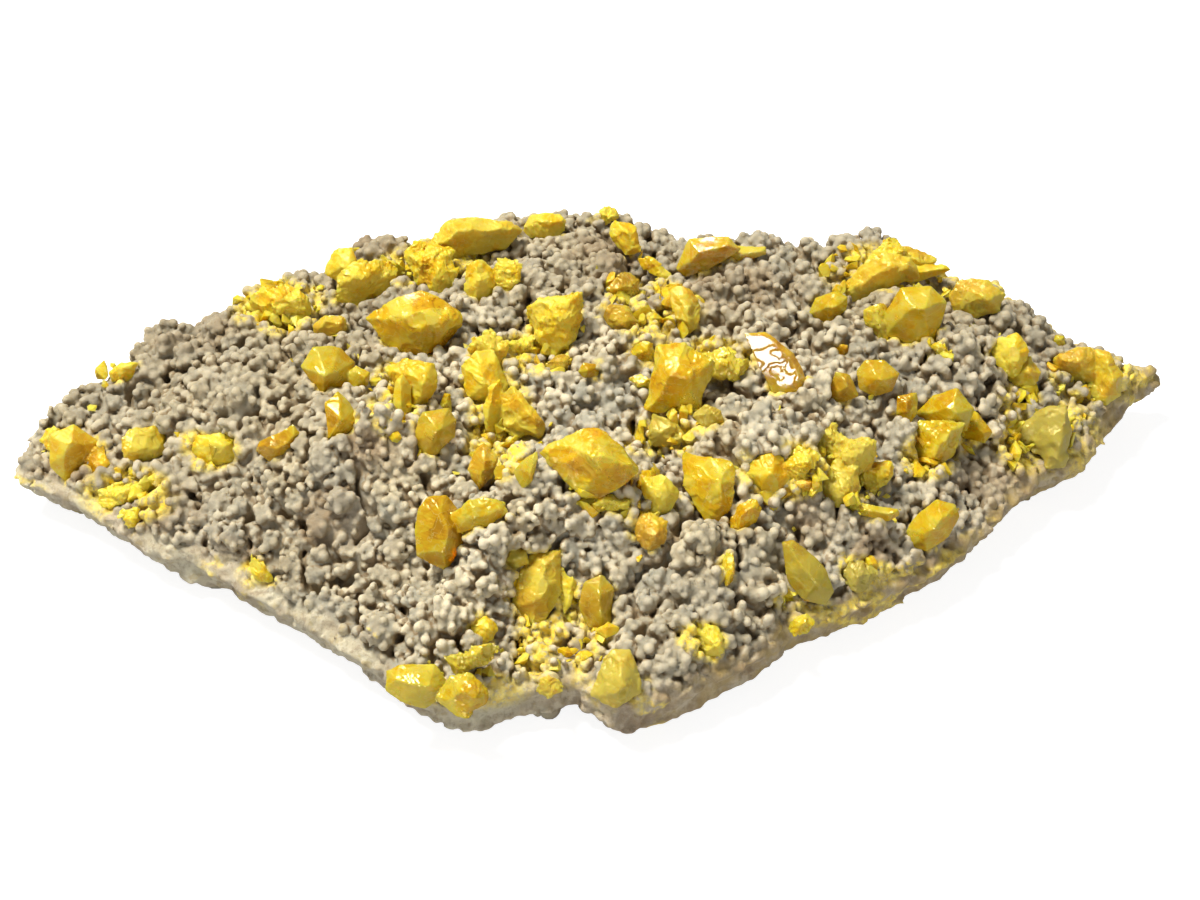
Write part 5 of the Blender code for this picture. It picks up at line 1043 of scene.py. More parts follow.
    # none grow at the bottom of the gaps between two heads
    keep &= sample(base, at + n * (1.6 / cell)) > 1.15 + 0.25 * hash_noise(p / 3.0, 91)
    p, n, u, v, hang = p[keep], n[keep], u[keep], v[keep], hang[keep]
    smooth = zone(u, v, SMOOTH_SPOTS) * 0.7 + 0.5 * ease(0.15, 0.6, hash_noise(p / 8.0, 11))
    smooth = np.clip(smooth, 0.0, 1.0)
    size = 0.77 + 0.42 * rng.random(len(p)) ** 1.5 + 0.12 * hash_noise(p / 12.0, 21)
    size *= 1.0 - 0.12 * ease(5.0, -25.0, p[:, 1]) * ease(30.0, -20.0, p[:, 0])
    gap = size * (1.48 + 0.9 * smooth)
    chosen = spread_out(p, gap, rng)
    p, n, u, v, size, smooth = p[chosen], n[chosen], u[chosen], v[chosen], size[chosen], smooth[chosen]
    knobs = [(p + n * (size * rng.uniform(-0.14, 0.34, len(p)))[:, None], size)]
    # fingers: more knobs grown from the first ones
    lift = np.clip(1.0 - 1.25 * smooth, 0.0, 1.0) * np.clip(0.30 + 0.8 * hash_noise(p / 7.0, 33), 0.0, 1.0)
    lift *= 1.0 - 0.85 * ease(26.0, 38.0, p[:, 1])
    centre, radius, way = knobs[0][0], size, n
    for generation in range(3):
        grow = rng.random(len(centre)) < lift * (0.62, 0.36, 0.2)[generation]
        if not grow.any():
            break
        centre, radius, way, lift = centre[grow], radius[grow], way[grow], lift[grow]
        way = way + rng.normal(size=way.shape) * 0.45 + np.array([0.0, -0.1, 0.35])
        way /= np.linalg.norm(way, axis=1, keepdims=True)
        centre = centre + way * (radius * rng.uniform(0.75, 1.1, len(radius)))[:, None]
        radius = np.clip(radius * rng.uniform(0.86, 1.1, len(radius)), 0.66, 1.15)
        clear = (nearest_crystal(centre, 2.0) > radius * 0.25) & (rim_room(centre) > -0.3)
        # at the back none stands up off the skyline
        most = finished_top(centre[:, 0], centre[:, 1], inset_from_edge(centre[:, 0], centre[:, 1])) + 1.4
        clear &= (centre[:, 1] < 26.0) | (centre[:, 2] + radius < most)
        centre, radius, way, lift = centre[clear], radius[clear], way[clear], lift[clear]
        knobs.append((centre, radius))
        # a neighbour beside it, for bunches
        side = centre + rng.normal(size=centre.shape) * 0.9 * radius[:, None]
        good = rng.random(len(side)) < 0.45
        good &= nearest_crystal(side, 2.0) > 0.2
        knobs.append((side[good], radius[good] * rng.uniform(0.8, 1.05, int(good.sum()))))
    centres = np.concatenate([k[0] for k in knobs])
    radii = np.concatenate([k[1] for k in knobs])
    say("crust: %d knobs" % len(centres))

    plain = base.copy()
    for c, r in zip(centres, radii):
        splat(c, r, 0.25)
    f += 0.035 * rough
    # craggy rock round the rim and below the crust
    bare = (f - plain) > -0.02
    high = (0.32 + 0.38 * ease(1.5, 5.0, zs)).astype(np.float32)
    f += np.where(bare, high[None, None, :], 0.0).astype(np.float32) * lattice(shape, cell, 1.3, rng)
    say("crust: knobs joined")
    # rock behind the two crystals that stand out furthest from the side
    splat(np.array([-7.3, -52.0, 10.4]), 1.8, 0.8)
    splat(np.array([35.6, -38.2, 11.2]), 1.7, 0.6)

    # sockets of the crystals, and the sawn base
    for name, (centre, size, planes) in PLANES.items():
        reach = size * 1.35 + 1.0
        i0 = np.maximum(((centre - reach - origin) / cell).astype(int), 0)
        i1 = np.minimum(((centre + reach - origin) / cell).astype(int) + 2, shape)
        grid = np.stack(np.meshgrid(xs[i0[0]:i1[0]], ys[i0[1]:i1[1]], zs[i0[2]:i1[2]], indexing="ij"), axis=-1)
        inside = plain_crystal(grid.reshape(-1, 3), name).reshape(grid.shape[:3])
        block = f[i0[0]:i1[0], i0[1]:i1[1], i0[2]:i1[2]]
        np.maximum(block, -(inside + 0.9) * 0.9, out=block)
    f = np.maximum(f, -zs[None, None, :].astype(np.float32) * np.ones(shape, np.float32))
    f[0], f[-1], f[:, 0], f[:, -1], f[:, :, 0], f[:, :, -1] = (1.0,) * 6
    verts, quads = surface_nets(f)
    quads = keep_largest(len(verts), quads)
    z = origin[2] + verts[:, 2] * cell
    low = z < 0.45 * cell
    floor_quads = low[quads].all(axis=1)
    quads = quads[~floor_quads]
    verts[low, 2] = -origin[2] / cell
    used = np.unique(quads)
    renumber = np.full(len(verts), -1, np.int32)
    renumber[used] = np.arange(len(used))
    whole = mesh_from("crust_whole", origin + verts[used] * cell, renumber[quads])
    say("crust: %d triangles before thinning" % (2 * len(quads)))
    holder = bpy.data.objects.new("crust_whole", whole)
    bpy.context.scene.collection.objects.link(holder)
    thin_out(holder, min(1.0, CRUST_FACES / (2.0 * len(quads))))
    whole = holder.data
    p = np.empty(len(whole.vertices) * 3, np.float32)
    whole.vertices.foreach_get("co", p)
    p = p.reshape(-1, 3).astype(float) / MM
    whole.calc_loop_triangles()
    faces = np.empty(len(whole.loop_triangles) * 3, np.int32)
    whole.loop_triangles.foreach_get("vertices", faces)
    faces = faces.reshape(-1, 3)
    bpy.data.objects.remove(holder)
    bpy.data.meshes.remove(whole)
    ring = bottom_ring(faces)
    p[ring, 2] = 0.0
    verts = (p - origin) / cell
    n = slope(f, verts, 0.55)
    say("crust: %d triangles" % len(faces))

    tip = sample(plain, verts)
    hang = p[:, 2] - rim_line(p[:, 0], p[:, 1]) + 2.5 * hash_noise(p / 6.0, 5)
    wall = np.maximum(1.0 - ease(-0.8, 0.8, hang), 1.0 - ease(-0.6, 0.5, rim_room(p)))
    u, v = to_drawing(p)
    wander = fractal(p, 5.0, 77, 3)
    brown = np.clip(zone(u, v, BROWN_SPOTS) * (0.55 + 0.6 * wander), 0.0, 1.0)
    near = nearest_crystal(p, 4.0, False)
    # the spots are drawn on the display side, so they fade round the back
    shown = 0.12 + 0.88 * ease(-0.2, 0.25, n @ S_OUT)
    yellow = shown * zone(u, v, YELLOW_SPOTS) * ease(-0.35, 0.35, wander + 0.36 - 0.42 * tip)
    yellow = np.maximum(yellow, (1.0 - ease(0.2, 1.3, near)) * ease(-0.1, 0.6, wander + 0.1))
    vein = np.abs(fractal(p * np.array([0.4, 0.4, 1.0]), 6.0, 99, 3)) - 0.09 * ease(0.0, 40.0, p[:, 0])
    yellow = np.where(wall > 0.5, np.maximum(yellow * 0.7, (1.0 - ease(0.03, 0.13, vein)) * 0.8
                                             * ease(-0.1, 0.3, hash_noise(p / 14.0, 8) + 0.1)), yellow)
    # how shut in a place is: the plain surface bends up round it; this sets the painted shade in the crust's
    # hollows
    deep = 1.0 - ease(0.2, 1.25, sample(plain, verts + n * (1.9 / cell)) - tip)
    deep *= 1.0 - 0.45 * smooth_at(p, u, v)
    pale = ease(10.0, -20.0, p[:, 0]) * (0.45 + 0.4 * wander)
    fields = {"pale": np.clip(pale, 0.0, 0.85), "tip": tip, "wall": wall, "brown": brown, "yellow": yellow, "deep": deep,
              # painted shade: the field set after ochre darkens the crust towards the back, both ends and the
              # front right
              "ochre": np.clip(wall * ease(4.0, 26.0, p[:, 0]), 0.0, 1.0), "painted_shade": np.clip(0.75 * ease(2.0, 34.0, p[:, 1]) + 0.4 * ease(-8.0, -30.0, p[:, 1]) * ease(-10.0, 15.0, p[:, 0])
                               + 0.7 * ease(-25.0, -55.0, p[:, 0]) + 0.4 * ease(38.0, 66.0, p[:, 0]), 0.0, 1.0),
              "grey": np.clip(0.5 + 0.7 * fractal(p, 11.0, 123, 2) + 0.4 * smooth_at(p, u, v), 0.0, 1.0)}
    return p, n, faces, fields, ring


def smooth_at(p, u, v):
    return zone(u, v, SMOOTH_SPOTS)


def bottom_ring(quads):
    """The open edge of the mesh as one run of vertices."""
    ends = np.concatenate([quads[:, [0, 1]], quads[:, [1, 2]], quads[:, [2, 0]]])
    key = np.sort(ends, axis=1)
    _, index, count = np.unique(key, axis=0, return_inverse=True, return_counts=True)
    open_ends = ends[count[index.reshape(-1)] == 1]
    follow = {}
    for a, b in open_ends:
        follow[int(b)] = int(a)
    best = []
    left = set(follow)
    while left:
        start = min(left)
        run = [start]
        left.discard(start)
        nxt = follow[start]
        while nxt != start and nxt in left:
            run.append(nxt)
            left.discard(nxt)
            nxt = follow[nxt]
        if len(run) > len(best):
            best = run
    return best


# --------------------------------------------------------- flakes and chips
# Loose-grown scraps of sulfur: drawing position, size in mm, depth of colour
# and how flat they lie.
CHIPS = [
    (841, 348, 2.0, 0.6, 0.7), (196, 430, 1.8, 0.1, 0.5), (243, 440, 2.0, 0.12, 0.3),
    (779, 408, 0.9, 0.0, 0.5), (944, 350, 2.0, 0.3, 0.5), (780, 602, 1.3, 0.2, 0.5),
    (790, 600, 1.2, 0.3, 0.5), (799, 479, 2.4, 0.1, 0.3), (253, 560, 1.3, 0.1, 0.4),
    (327, 471, 1.2, 0.05, 0.5), (471, 594, 1.2, 0.08, 0.5), (545, 686, 1.8, 0.25, 0.4),
    (338, 336, 1.6, 0.05, 0.3), (350, 348, 1.7, 0.05, 0.3), (586, 600, 1.6, 0.1, 0.3),
    (596, 584, 1.5, 0.12, 0.3), (1000, 398, 1.8, 0.2, 0.4), (1022, 392, 1.6, 0.15, 0.4),
    (640, 255, 1.6, 0.1, 0.4), (655, 268, 1.5, 0.1, 0.4), (706, 630, 1.5, 0.2, 0.4),
    (690, 622, 1.2, 0.2, 0.4), (262, 566, 1.6, 0.12, 0.4), (115, 372, 1.8, 0.2, 0.5),
    (104, 384, 1.4, 0.2, 0.5), (92, 408, 1.2, 0.1, 0.4), (600, 270, 1.4, 0.2, 0.4),
    (872, 572, 1.8, 0.1, 0.3), (860, 584, 1.5, 0.1, 0.3), (905, 470, 1.6, 0.2, 0.4),
    (930, 345, 1.5, 0.3, 0.4), (963, 345, 1.3, 0.2, 0.4), (1040, 375, 1.5, 0.3, 0.4),
]


def quick_sight(u, v, lift):
    """As follow_sight on the finished crust, in long steps and then short ones."""
    ray = S_RIGHT * (u - 600.0) / FOCAL + S_UP * (450.0 - v) / FOCAL - S_OUT
    t = np.arange(440.0, 680.0, 2.0)
    for _ in range(2):
        p = EYE[:, None] + ray[:, None] * t
        below = p[2] - lift <= finished_top(p[0], p[1], inset_from_edge(p[0], p[1]))
        k = int(np.argmax(below))
        if not below.any() or k == 0:
            return None
        p = p[:, k]
        t = np.linspace(t[k - 1], t[k], 11)
    return p


def finished_top(x, y, d):
    """The finished crust's middle height, between its knobs and its gaps."""
    return crust_top(x, y, d) - 0.2 - 0.7 * ease(30.0, 48.0, y) - 1.8 * ease(93.0, 107.0, np.abs(x))


def build_chips(look):
    rng = np.random.default_rng(77)
    spots = list(CHIPS)
    for cu, cv, w, h in YELLOW_SPOTS:
        for _ in range(int(w * h / 50)):
            a, r = rng.uniform(0, 2 * math.pi), math.sqrt(rng.uniform(0, 1.0))
            spots.append((cu + w * r * math.cos(a), cv + h * r * math.sin(a),
                          0.5 + 2.3 * rng.random() ** 2.0, rng.uniform(0.10, 0.55), rng.uniform(0.35, 1.0)))
    for _ in range(170):
        name = CRYSTALS[int(rng.integers(len(CRYSTALS)))]
        cs = np.array([(c[0], c[1]) for c in name[2]])
        i = int(rng.integers(len(cs)))
        at = cs[i] + rng.normal(size=2) * 7.0
        spots.append((at[0], at[1], rng.uniform(0.35, 1.0), rng.uniform(0.0, 0.5), rng.uniform(0.2, 0.8)))
    bm = bmesh.new()
    depth_layer = bm.verts.layers.float.new("depth")
    for u, v, size, depth, flat in spots:
        p = quick_sight(u, v, 0.2 * size)
        if p is None or inset_from_edge(p[0], p[1]) < 2.0:
            continue
        axes = np.linalg.qr(rng.normal(size=(3, 3)))[0]
        stretch = size * np.array([1.0, rng.uniform(0.5, 1.0), max(0.18, flat * 0.8)])
        cloud_pts = rng.normal(size=(11, 3))
        cloud_pts /= np.linalg.norm(cloud_pts, axis=1, keepdims=True)
        cloud_pts = (cloud_pts * stretch) @ axes.T
        vs = []
        for q in cloud_pts:
            vert = bm.verts.new(Vector((p + q) * MM))
            vert[depth_layer] = depth
            vs.append(vert)
        made = bmesh.ops.convex_hull(bm, input=vs, use_existing_faces=False)
        loose = [g for g in made["geom_interior"] if isinstance(g, bmesh.types.BMVert)]
        loose += [g for g in made["geom_unused"] if isinstance(g, bmesh.types.BMVert)]
        for g in set(loose):
            if g.is_valid:
                bm.verts.remove(g)
    mesh = bpy.data.meshes.new("sulfur_chips")
    bm.to_mesh(mesh)
    bm.free()
    count = len(mesh.vertices)
    for key, value in (("cloud", 0.5), ("edge", 0.2), ("dull", 0.0)):
        layer = mesh.attributes.new(key, "FLOAT", "POINT")
        layer.data.foreach_set("value", np.full(count, value, np.float32))
    mesh.polygons.foreach_set("use_smooth", np.zeros(len(mesh.polygons), bool))
    return add_piece("sulfur_chips", mesh, look)


# ---------------------------------------------------------------- materials
class Nodes:
    def __init__(self, name):
        self.look = bpy.data.materials.new(name)
        self.look.use_nodes = True
        self.tree = self.look.node_tree
        self.tree.nodes.clear()
        self.end = self.tree.nodes.new("ShaderNodeOutputMaterial")

    def put(self, socket, value):
        if isinstance(value, bpy.types.NodeSocket):
            self.tree.links.new(value, socket)
        else:
            socket.default_value = value

    def node(self, kind, **values):
        made = self.tree.nodes.new(kind)
        for key, value in values.items():
            setattr(made, key, value)
        return made

    def field(self, name):
        return self.node("ShaderNodeAttribute", attribute_name=name).outputs["Fac"]

    def place(self):
        return self.node("ShaderNodeTexCoord").outputs["Object"]

    def noise(self, size_mm, detail=3.0, rough=0.55, kind="FBM", place=None):
        made = self.node("ShaderNodeTexNoise")
        self.put(made.inputs["Vector"], place or self.place())
        made.inputs["Scale"].default_value = 1000.0 / size_mm
        made.inputs["Detail"].default_value = detail
        made.inputs["Roughness"].default_value = rough
        return made.outputs["Fac"]

    def stretched(self, scale):
        made = self.node("ShaderNodeMapping")
        self.put(made.inputs["Vector"], self.place())
        made.inputs["Scale"].default_value = scale
        made.inputs["Rotation"].default_value = (0.5, 0.35, 0.0)
        return made.outputs["Vector"]

    def cells(self, size_mm, feature="F1", out="Distance"):
        made = self.node("ShaderNodeTexVoronoi", feature=feature)
        self.put(made.inputs["Vector"], self.place())
        made.inputs["Scale"].default_value = 1000.0 / size_mm
        return made.outputs[out]

    def math(self, how, a, b=0.0, c=0.0):
        made = self.node("ShaderNodeMath", operation=how)
        for socket, value in zip(made.inputs, (a, b, c)):
            self.put(socket, value)
        return made.outputs[0]

    def span(self, value, a, b, low=0.0, high=1.0, smooth=True):
        made = self.node("ShaderNodeMapRange", interpolation_type="SMOOTHSTEP" if smooth else "LINEAR")
        for key, v in (("Value", value), ("From Min", a), ("From Max", b), ("To Min", low), ("To Max", high)):
            self.put(made.inputs[key], v)
        return made.outputs["Result"]

    def mix(self, share, a, b, how="MIX"):
        made = self.node("ShaderNodeMix", data_type="RGBA", blend_type=how)
        for k, value in ((0, share), (6, a), (7, b)):
            if isinstance(value, tuple):
                value = (*value, 1.0)
            self.put(made.inputs[k], value)
        return made.outputs[2]

    def ramp(self, value, stops):
        made = self.node("ShaderNodeValToRGB")
        self.put(made.inputs["Fac"], value)
        bar = made.color_ramp.elements
        while len(bar) < len(stops):
            bar.new(0.5)
        for element, (at, colour) in zip(bar, stops):
            element.position = at
            element.color = (*colour, 1.0)
        return made.outputs["Color"]

    def bump(self, height, distance_mm, strength=1.0, normal=None):
        made = self.node("ShaderNodeBump")
        made.inputs["Strength"].default_value = strength
        made.inputs["Distance"].default_value = distance_mm * MM
        self.put(made.inputs["Height"], height)
        if normal is not None:
            self.put(made.inputs["Normal"], normal)
        return made.outputs["Normal"]

    def principled(self, **values):
        made = self.node("ShaderNodeBsdfPrincipled")
        for key, value in values.items():
            key = key.replace("_", " ").title().replace("Ior", "IOR")
            if isinstance(value, tuple) and len(value) == 3 and "Radius" not in key:
                value = (*value, 1.0)
            self.put(made.inputs[key], value)
        self.tree.links.new(made.outputs["BSDF"], self.end.inputs["Surface"])
        return made


SULFUR_STOPS = [
    (0.00, (0.89, 0.705, 0.070)), (0.20, (0.895, 0.63, 0.021)), (0.42, (0.875, 0.54, 0.012)),
    (0.65, (0.835, 0.46, 0.006)), (0.85, (0.75, 0.375, 0.004)), (1.00, (0.57, 0.275, 0.003)),
]


def sulfur_look(name, rough, clear, inner, relief, glow, shine=0.30, tint=(1.0, 0.85, 0.40)):
    """Sulfur: strongly refracting, see-through to a varying degree, and the
    yellow deepening with the thickness that light crosses."""
    m = Nodes(name)
    depth = m.field("depth")
    wide = m.noise(5.0, 3.0)
    fine = m.noise(1.1, 4.0, 0.6)
    shade = m.math("ADD", depth, m.math("MULTIPLY", m.math("SUBTRACT", wide, 0.5), 1.9))
    shade = m.math("ADD", shade, m.math("MULTIPLY", m.math("SUBTRACT", fine, 0.5), 0.45))
    # planes inside part it into paler and deeper blocks, and growth lines cross it
    for size, much in ((5.2, 0.60), (2.3, 0.30)):
        block = m.node("ShaderNodeSeparateColor")
        m.put(block.inputs["Color"], m.cells(size, out="Color"))
        shade = m.math("ADD", shade, m.math("MULTIPLY", m.math("SUBTRACT", block.outputs[0], 0.5), much))
    lines = m.noise(1.0, 3.0, 0.5, place=m.stretched((0.35, 0.35, 4.5)))
    shade = m.math("ADD", shade, m.math("MULTIPLY", m.math("SUBTRACT", lines, 0.5), 0.7))
    # painted light: paler towards the edges, where light crosses only a thin layer of sulfur
    shade = m.math("SUBTRACT", shade, m.math("MULTIPLY", m.field("edge"), 0.38))
    colour = m.ramp(shade, SULFUR_STOPS)
    cloudy = m.math("MULTIPLY", m.field("cloud"), m.span(m.noise(2.6, 4.0), 0.45, 0.70))
    colour = m.mix(m.math("MULTIPLY", cloudy, 0.38), colour, (0.86, 0.74, 0.12))
    crack = m.span(m.math("ABSOLUTE", m.math("SUBTRACT", m.noise(3.4, 3.0, 0.6), 0.5)), 0.0, 0.022, 0.45, 0.0)
    colour = m.mix(crack, colour, (0.90, 0.78, 0.20))
    colour = m.mix(m.field("dull"), colour, (0.42, 0.345, 0.075))
    seen_through = m.math("SUBTRACT", clear, m.math("MULTIPLY", cloudy, 0.35 * clear))
    roughness = m.math("ADD", rough, m.math("MULTIPLY", m.span(m.noise(3.2, 3.0), 0.45, 0.75), 0.22))
    stripes = m.node("ShaderNodeTexWave", wave_type="BANDS", bands_direction="DIAGONAL")
    m.put(stripes.inputs["Vector"], m.place())
    stripes.inputs["Scale"].default_value = 420.0
    stripes.inputs["Distortion"].default_value = 6.0
    stripes.inputs["Detail"].default_value = 3.0
    height = m.math("ADD", m.math("MULTIPLY", m.noise(0.7, 5.0, 0.62), 0.7),
                    m.math("MULTIPLY", stripes.outputs["Fac"], 0.12))
    height = m.math("ADD", height, m.math("MULTIPLY", m.noise(2.2, 3.0, 0.5), 0.9))
    normal = m.bump(height, relief)
    bsdf = m.principled(base_color=colour, roughness=roughness, ior=1.96, transmission_weight=seen_through,
                        subsurface_weight=glow, normal=normal, specular_ior_level=shine)
    bsdf.inputs["Specular Tint"].default_value = tint + (1.0,)
    bsdf.subsurface_method = "RANDOM_WALK"
    bsdf.inputs["Subsurface Radius"].default_value = (1.0, 0.62, 0.10)
    bsdf.inputs["Subsurface Scale"].default_value = 0.0022
    soak = m.node("ShaderNodeVolumeAbsorption")
    soak.inputs["Color"].default_value = (0.985, 0.74, 0.06, 1.0)
    soak.inputs["Density"].default_value = inner
    m.tree.links.new(soak.outputs["Volume"], m.end.inputs["Volume"])
    return m.look


def crust_look():
    m = Nodes("aragonite_crust")
    tip = m.field("tip")
    mottle = m.noise(1.3, 4.0, 0.6)
    broad = m.noise(7.0, 3.0)
    # grey between the knobs, beige on their sides, cream at the tips
    base = m.mix(m.span(broad, 0.35, 0.65), (0.28, 0.255, 0.18), (0.33, 0.265, 0.155))
    base = m.mix(m.math("MULTIPLY", m.field("grey"), 0.55), base, (0.375, 0.36, 0.29))
    knob = m.mix(m.span(mottle, 0.35, 0.7), (0.44, 0.375, 0.24), (0.55, 0.478, 0.315))
    knob = m.mix(m.math("MULTIPLY", m.field("grey"), 0.7), knob, (0.42, 0.39, 0.31))
    colour = m.mix(m.span(tip, 0.0, 0.7), base, knob)
    colour = m.mix(m.span(tip, 0.45, 1.35, 0.0, 0.70), colour, (0.665, 0.59, 0.415))
    # painted shade: dark brown where the crust is shut in, in the hollows and the gaps between the knobs
    colour = m.mix(m.span(m.field("deep"), 0.1, 0.9, 0.0, 0.72), colour, (0.24, 0.155, 0.068))
    brown = m.mix(m.span(mottle, 0.3, 0.7), (0.211, 0.140, 0.072), (0.352, 0.252, 0.141))
    colour = m.mix(m.math("MULTIPLY", m.field("brown"), m.span(tip, 2.6, 0.2, 0.45, 0.9)), colour, brown)
    # painted shade: the crust mixed towards dark brown at the back, both ends and the front right
    colour = m.mix(m.math("MULTIPLY", m.field("painted_shade"), 0.5), colour, (0.235, 0.19, 0.115))
    specks = m.span(m.noise(0.55, 2.0, 0.5), 0.66, 0.74)
    colour = m.mix(m.math("MULTIPLY", specks, 0.35), colour, (0.264, 0.192, 0.111))
    # the limestone of the broken side
    rock = m.mix(m.span(m.noise(4.5, 5.0, 0.65), 0.35, 0.65), (0.27, 0.195, 0.115), (0.50, 0.43, 0.31))
    rock = m.mix(m.field("pale"), rock, (0.51, 0.475, 0.335))
    rock = m.mix(m.span(m.noise(1.2, 5.0, 0.65), 0.48, 0.66, 0.0, 0.62), rock, (0.22, 0.165, 0.10))
    rock = m.mix(m.span(m.noise(3.0, 5.0, 0.7), 0.52, 0.66, 0.0, 0.5), rock, (0.36, 0.27, 0.10))
    rock = m.mix(m.math("MULTIPLY", m.field("ochre"), m.span(m.noise(4.0, 4.0, 0.6), 0.38, 0.62, 0.15, 0.75)), rock, (0.36, 0.255, 0.075))
    colour = m.mix(m.field("wall"), colour, rock)
    sulfur = m.mix(m.span(m.noise(1.4, 4.0, 0.6), 0.35, 0.65), (0.70, 0.50, 0.03), (0.82, 0.68, 0.14))
    grain = m.span(m.noise(0.9, 4.0, 0.65), 0.30, 0.55)
    colour = m.mix(m.math("MULTIPLY", m.field("yellow"), grain), colour, sulfur)
    height = m.math("ADD", m.math("MULTIPLY", m.noise(0.38, 4.0, 0.65), 0.75),
                    m.math("MULTIPLY", m.noise(1.5, 3.0, 0.5), 0.6))
    bsdf = m.principled(base_color=colour, roughness=m.span(m.noise(0.6, 2.0), 0.55, 0.7, 0.62, 0.34),
                        ior=1.6, subsurface_weight=0.34, normal=m.bump(height, 0.26))
    bsdf.inputs["Subsurface Radius"].default_value = (1.0, 0.78, 0.5)
    bsdf.inputs["Subsurface Scale"].default_value = 0.0008
    return m.look


# -------------------------------------------------------------------- build
for node in frame["nodes"].values():
    node.data.materials.clear()

LOOKS = {
    "gem": (sulfur_look("sulfur_gem", 0.10, 0.52, 380.0, 0.03, 0.34), "sulfur_gem"),
    "broken": (sulfur_look("sulfur_broken", 0.16, 0.44, 380.0, 0.08, 0.36), "sulfur_broken"),
    "etched": (sulfur_look("sulfur_etched", 0.28, 0.36, 380.0, 0.12, 0.42), "sulfur_etched"),
    "ragged": (sulfur_look("sulfur_ragged", 0.30, 0.32, 380.0, 0.20, 0.42), "sulfur_ragged"),
}
MIRROR = sulfur_look("sulfur_mirror", 0.05, 0.40, 380.0, 0.01, 0.35, 0.60, (1.0, 1.0, 1.0))
NODE_SLOT = {entry["node"]: entry["material_slot"] for entry in frame["record"]["subparts"]}

grouped = {}
for spec in CRYSTALS:
    grouped.setdefault(spec[1], []).append(spec)
for spec in SMALL:
    grouped.setdefault("small_" + spec[0], []).append(spec)

names = sorted(grouped)
with ThreadPoolExecutor(4) as crew:
    shapes = dict(zip(names, crew.map(lambda node: shape_crystal(grouped[node]), names)))
say("crystals: shaped")
crystal_pieces = []
for node in names:
    specs = grouped[node]
    small = node.startswith("small_")
    slot_name = ("sulfur_" + specs[0][7]) if small else NODE_SLOT[node]
    look = LOOKS[slot_name.split("_")[1]][0]
    if node in ("mirror_gem_crystal", "skyline_gem_crystal"):
        look = MIRROR
    name = node + ("" if small else "_finished")
    piece = add_piece(name, mesh_from(name, *shapes[node]), look, () if small else (node,))
    crystal_pieces.append((piece, specs))
faces = sum(2 * len(p.data.polygons) for p, _ in crystal_pieces)
say("crystals: %d triangles before thinning" % faces)
share = min(1.0, 315000.0 / faces)
for piece, specs in crystal_pieces:
    thin_out(piece, share)
    colour_fields(piece, specs)
say("crystals: %d triangles" % sum(sum(len(f.vertices) - 2 for f in p.data.polygons) for p, _ in crystal_pieces))

stone = crust_look()
p, n, quads, fields, ring = build_crust(0.41)
chunks = max(1, int(math.ceil(len(quads) / 180000.0)))
middle = p[quads].mean(axis=1)[:, 0]
cuts = np.quantile(middle, np.linspace(0.0, 1.0, chunks + 1))
for k in range(chunks):
    mine = (middle >= cuts[k]) & ((middle < cuts[k + 1]) | (k == chunks - 1))
    q = quads[mine]
    used = np.unique(q)
    renumber = np.zeros(len(p), np.int32)
    renumber[used] = np.arange(len(used))
    mesh = mesh_from("crust_%d" % (k + 1), p[used], renumber[q], n[used],
                     {key: value[used] for key, value in fields.items()})
    add_piece("crust_%d" % (k + 1), mesh, stone, ("matrix",))
flat = p[ring].copy()
flat[:, 2] = 0.0
under = bpy.data.meshes.new("sawn_base")
under.from_pydata([tuple(c * MM) for c in flat], [], [list(range(len(ring)))])
for key in fields:
    layer = under.attributes.new(key, "FLOAT", "POINT")
    layer.data.foreach_set("value", np.full(len(ring), 1.0 if key == "wall" else 0.0, np.float32))
if under.polygons[0].normal.z > 0:
    under.flip_normals()
add_piece("sawn_base", under, stone, ("matrix",))
build_chips(LOOKS["ragged"][0])
say("crust: %d pieces, ring of %d" % (chunks, len(ring)))


# -------------------------------------------------------------------- stage
def reflected(name, face):
    """Where the viewer sees a crystal's face mirror, as a direction."""
    centre, size, planes = PLANES[name]
    n = planes[face][0]
    view = (EYE - centre) / np.linalg.norm(EYE - centre)
    return 2.0 * n * n.dot(view) - view


floor_mesh = bpy.data.meshes.new("floor")
floor_mesh.from_pydata([(-6, -6, 0), (6, -6, 0), (6, 6, 0), (-6, 6, 0)], [], [(0, 1, 2, 3)])
floor = bpy.data.objects.new("floor", floor_mesh)
bpy.context.scene.collection.objects.link(floor)
floor.location.z = -0.00005
white = Nodes("white_floor")
seen = white.node("ShaderNodeLightPath").outputs["Is Camera Ray"]
white_bsdf = white.principled(base_color=(0.35, 0.35, 0.35), roughness=0.9,
                              emission_strength=white.span(seen, 0.0, 1.0, 0.12, 0.86, False))
white_bsdf.inputs["Emission Color"].default_value = (1.0, 1.0, 1.0, 1.0)
floor_mesh.materials.append(white.look)

scene = bpy.context.scene
world = bpy.data.worlds.new("white_room")
scene.world = world
world.use_nodes = True
world.node_tree.nodes["Background"].inputs["Color"].default_value = (1.0, 0.995, 0.985, 1.0)
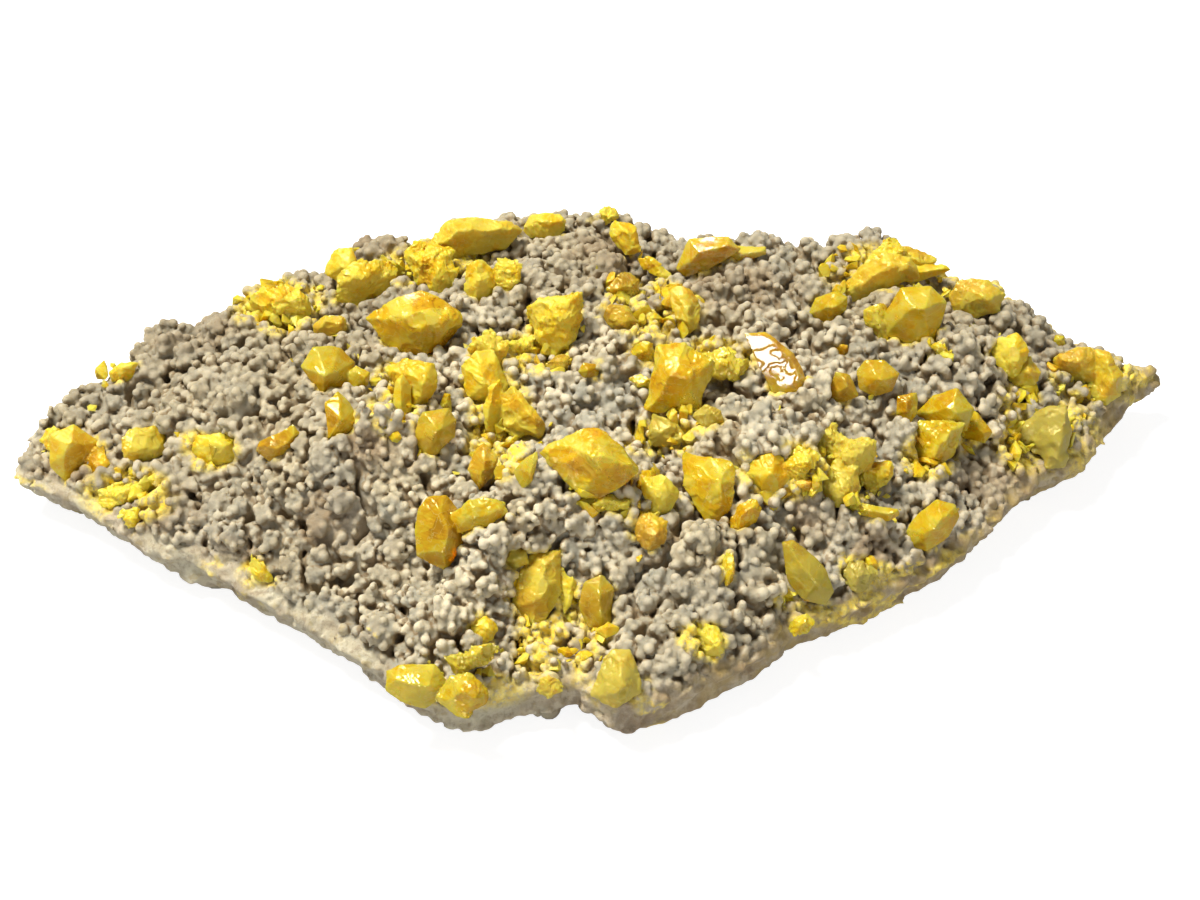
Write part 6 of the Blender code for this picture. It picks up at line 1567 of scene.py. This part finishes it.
# the room lights softly but is seen white all the way round
seen = world.node_tree.nodes.new("ShaderNodeLightPath")
bright = world.node_tree.nodes.new("ShaderNodeMapRange")
bright.inputs["To Min"].default_value = 0.24
bright.inputs["To Max"].default_value = 1.0
world.node_tree.links.new(seen.outputs["Is Camera Ray"], bright.inputs["Value"])
world.node_tree.links.new(bright.outputs["Result"], world.node_tree.nodes["Background"].inputs["Strength"])


def area(name, at, width, height, watts, colour):
    light = bpy.data.lights.new(name, "AREA")
    light.shape = "RECTANGLE"
    light.size, light.size_y = width, height
    light.energy = watts
    light.color = colour
    lamp = bpy.data.objects.new(name, light)
    scene.collection.objects.link(lamp)
    lamp.location = at
    way = Vector((0.0, 0.0, 0.012)) - Vector(at)
    lamp.rotation_euler = way.to_track_quat("-Z", "Y").to_euler()
    return lamp


KEY_WAY = np.array([-0.36, 0.13, 0.92])
key = area("window", tuple(KEY_WAY / np.linalg.norm(KEY_WAY) * 1.6), 0.40, 0.40, 40.0, (1.0, 0.975, 0.93))
key.visible_glossy = False
sheen = area("sheen", tuple(KEY_WAY / np.linalg.norm(KEY_WAY) * 1.5), 0.55, 0.55, 8.0, (1.0, 1.0, 1.0))
# the polished face of the mirror gem shows a bright pane
low_way = reflected("mirror_gem", 10)
pane = area("low_window", tuple(low_way * 1.2), 0.34, 0.34, 3.2, (1.0, 1.0, 1.0))
fill = area("room", (0.9, -1.5, 1.3), 1.4, 1.0, 5.0, (0.95, 0.97, 1.0))

camera_data = bpy.data.cameras.new("camera")
camera = bpy.data.objects.new("camera", camera_data)
scene.collection.objects.link(camera)
camera.location = Vector(EYE * MM)
camera.rotation_euler = Vector(-S_OUT).to_track_quat("-Z", "Y").to_euler()
camera_data.sensor_width = 36.0
camera_data.lens = 36.0 * FOCAL / 1200.0
camera_data.clip_start = 0.01
camera_data.clip_end = 50.0
camera_data.dof.use_dof = False
scene.camera = camera

scene.view_settings.view_transform = "Standard"
scene.view_settings.look = "None"
scene.cycles.use_denoising = True
scene.cycles.max_bounces = 8
scene.cycles.transmission_bounces = 6
scene.cycles.diffuse_bounces = 3
scene.cycles.glossy_bounces = 3
scene.cycles.caustics_reflective = False
scene.cycles.caustics_refractive = False
scene.cycles.sample_clamp_indirect = 6.0

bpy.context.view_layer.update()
say("done")
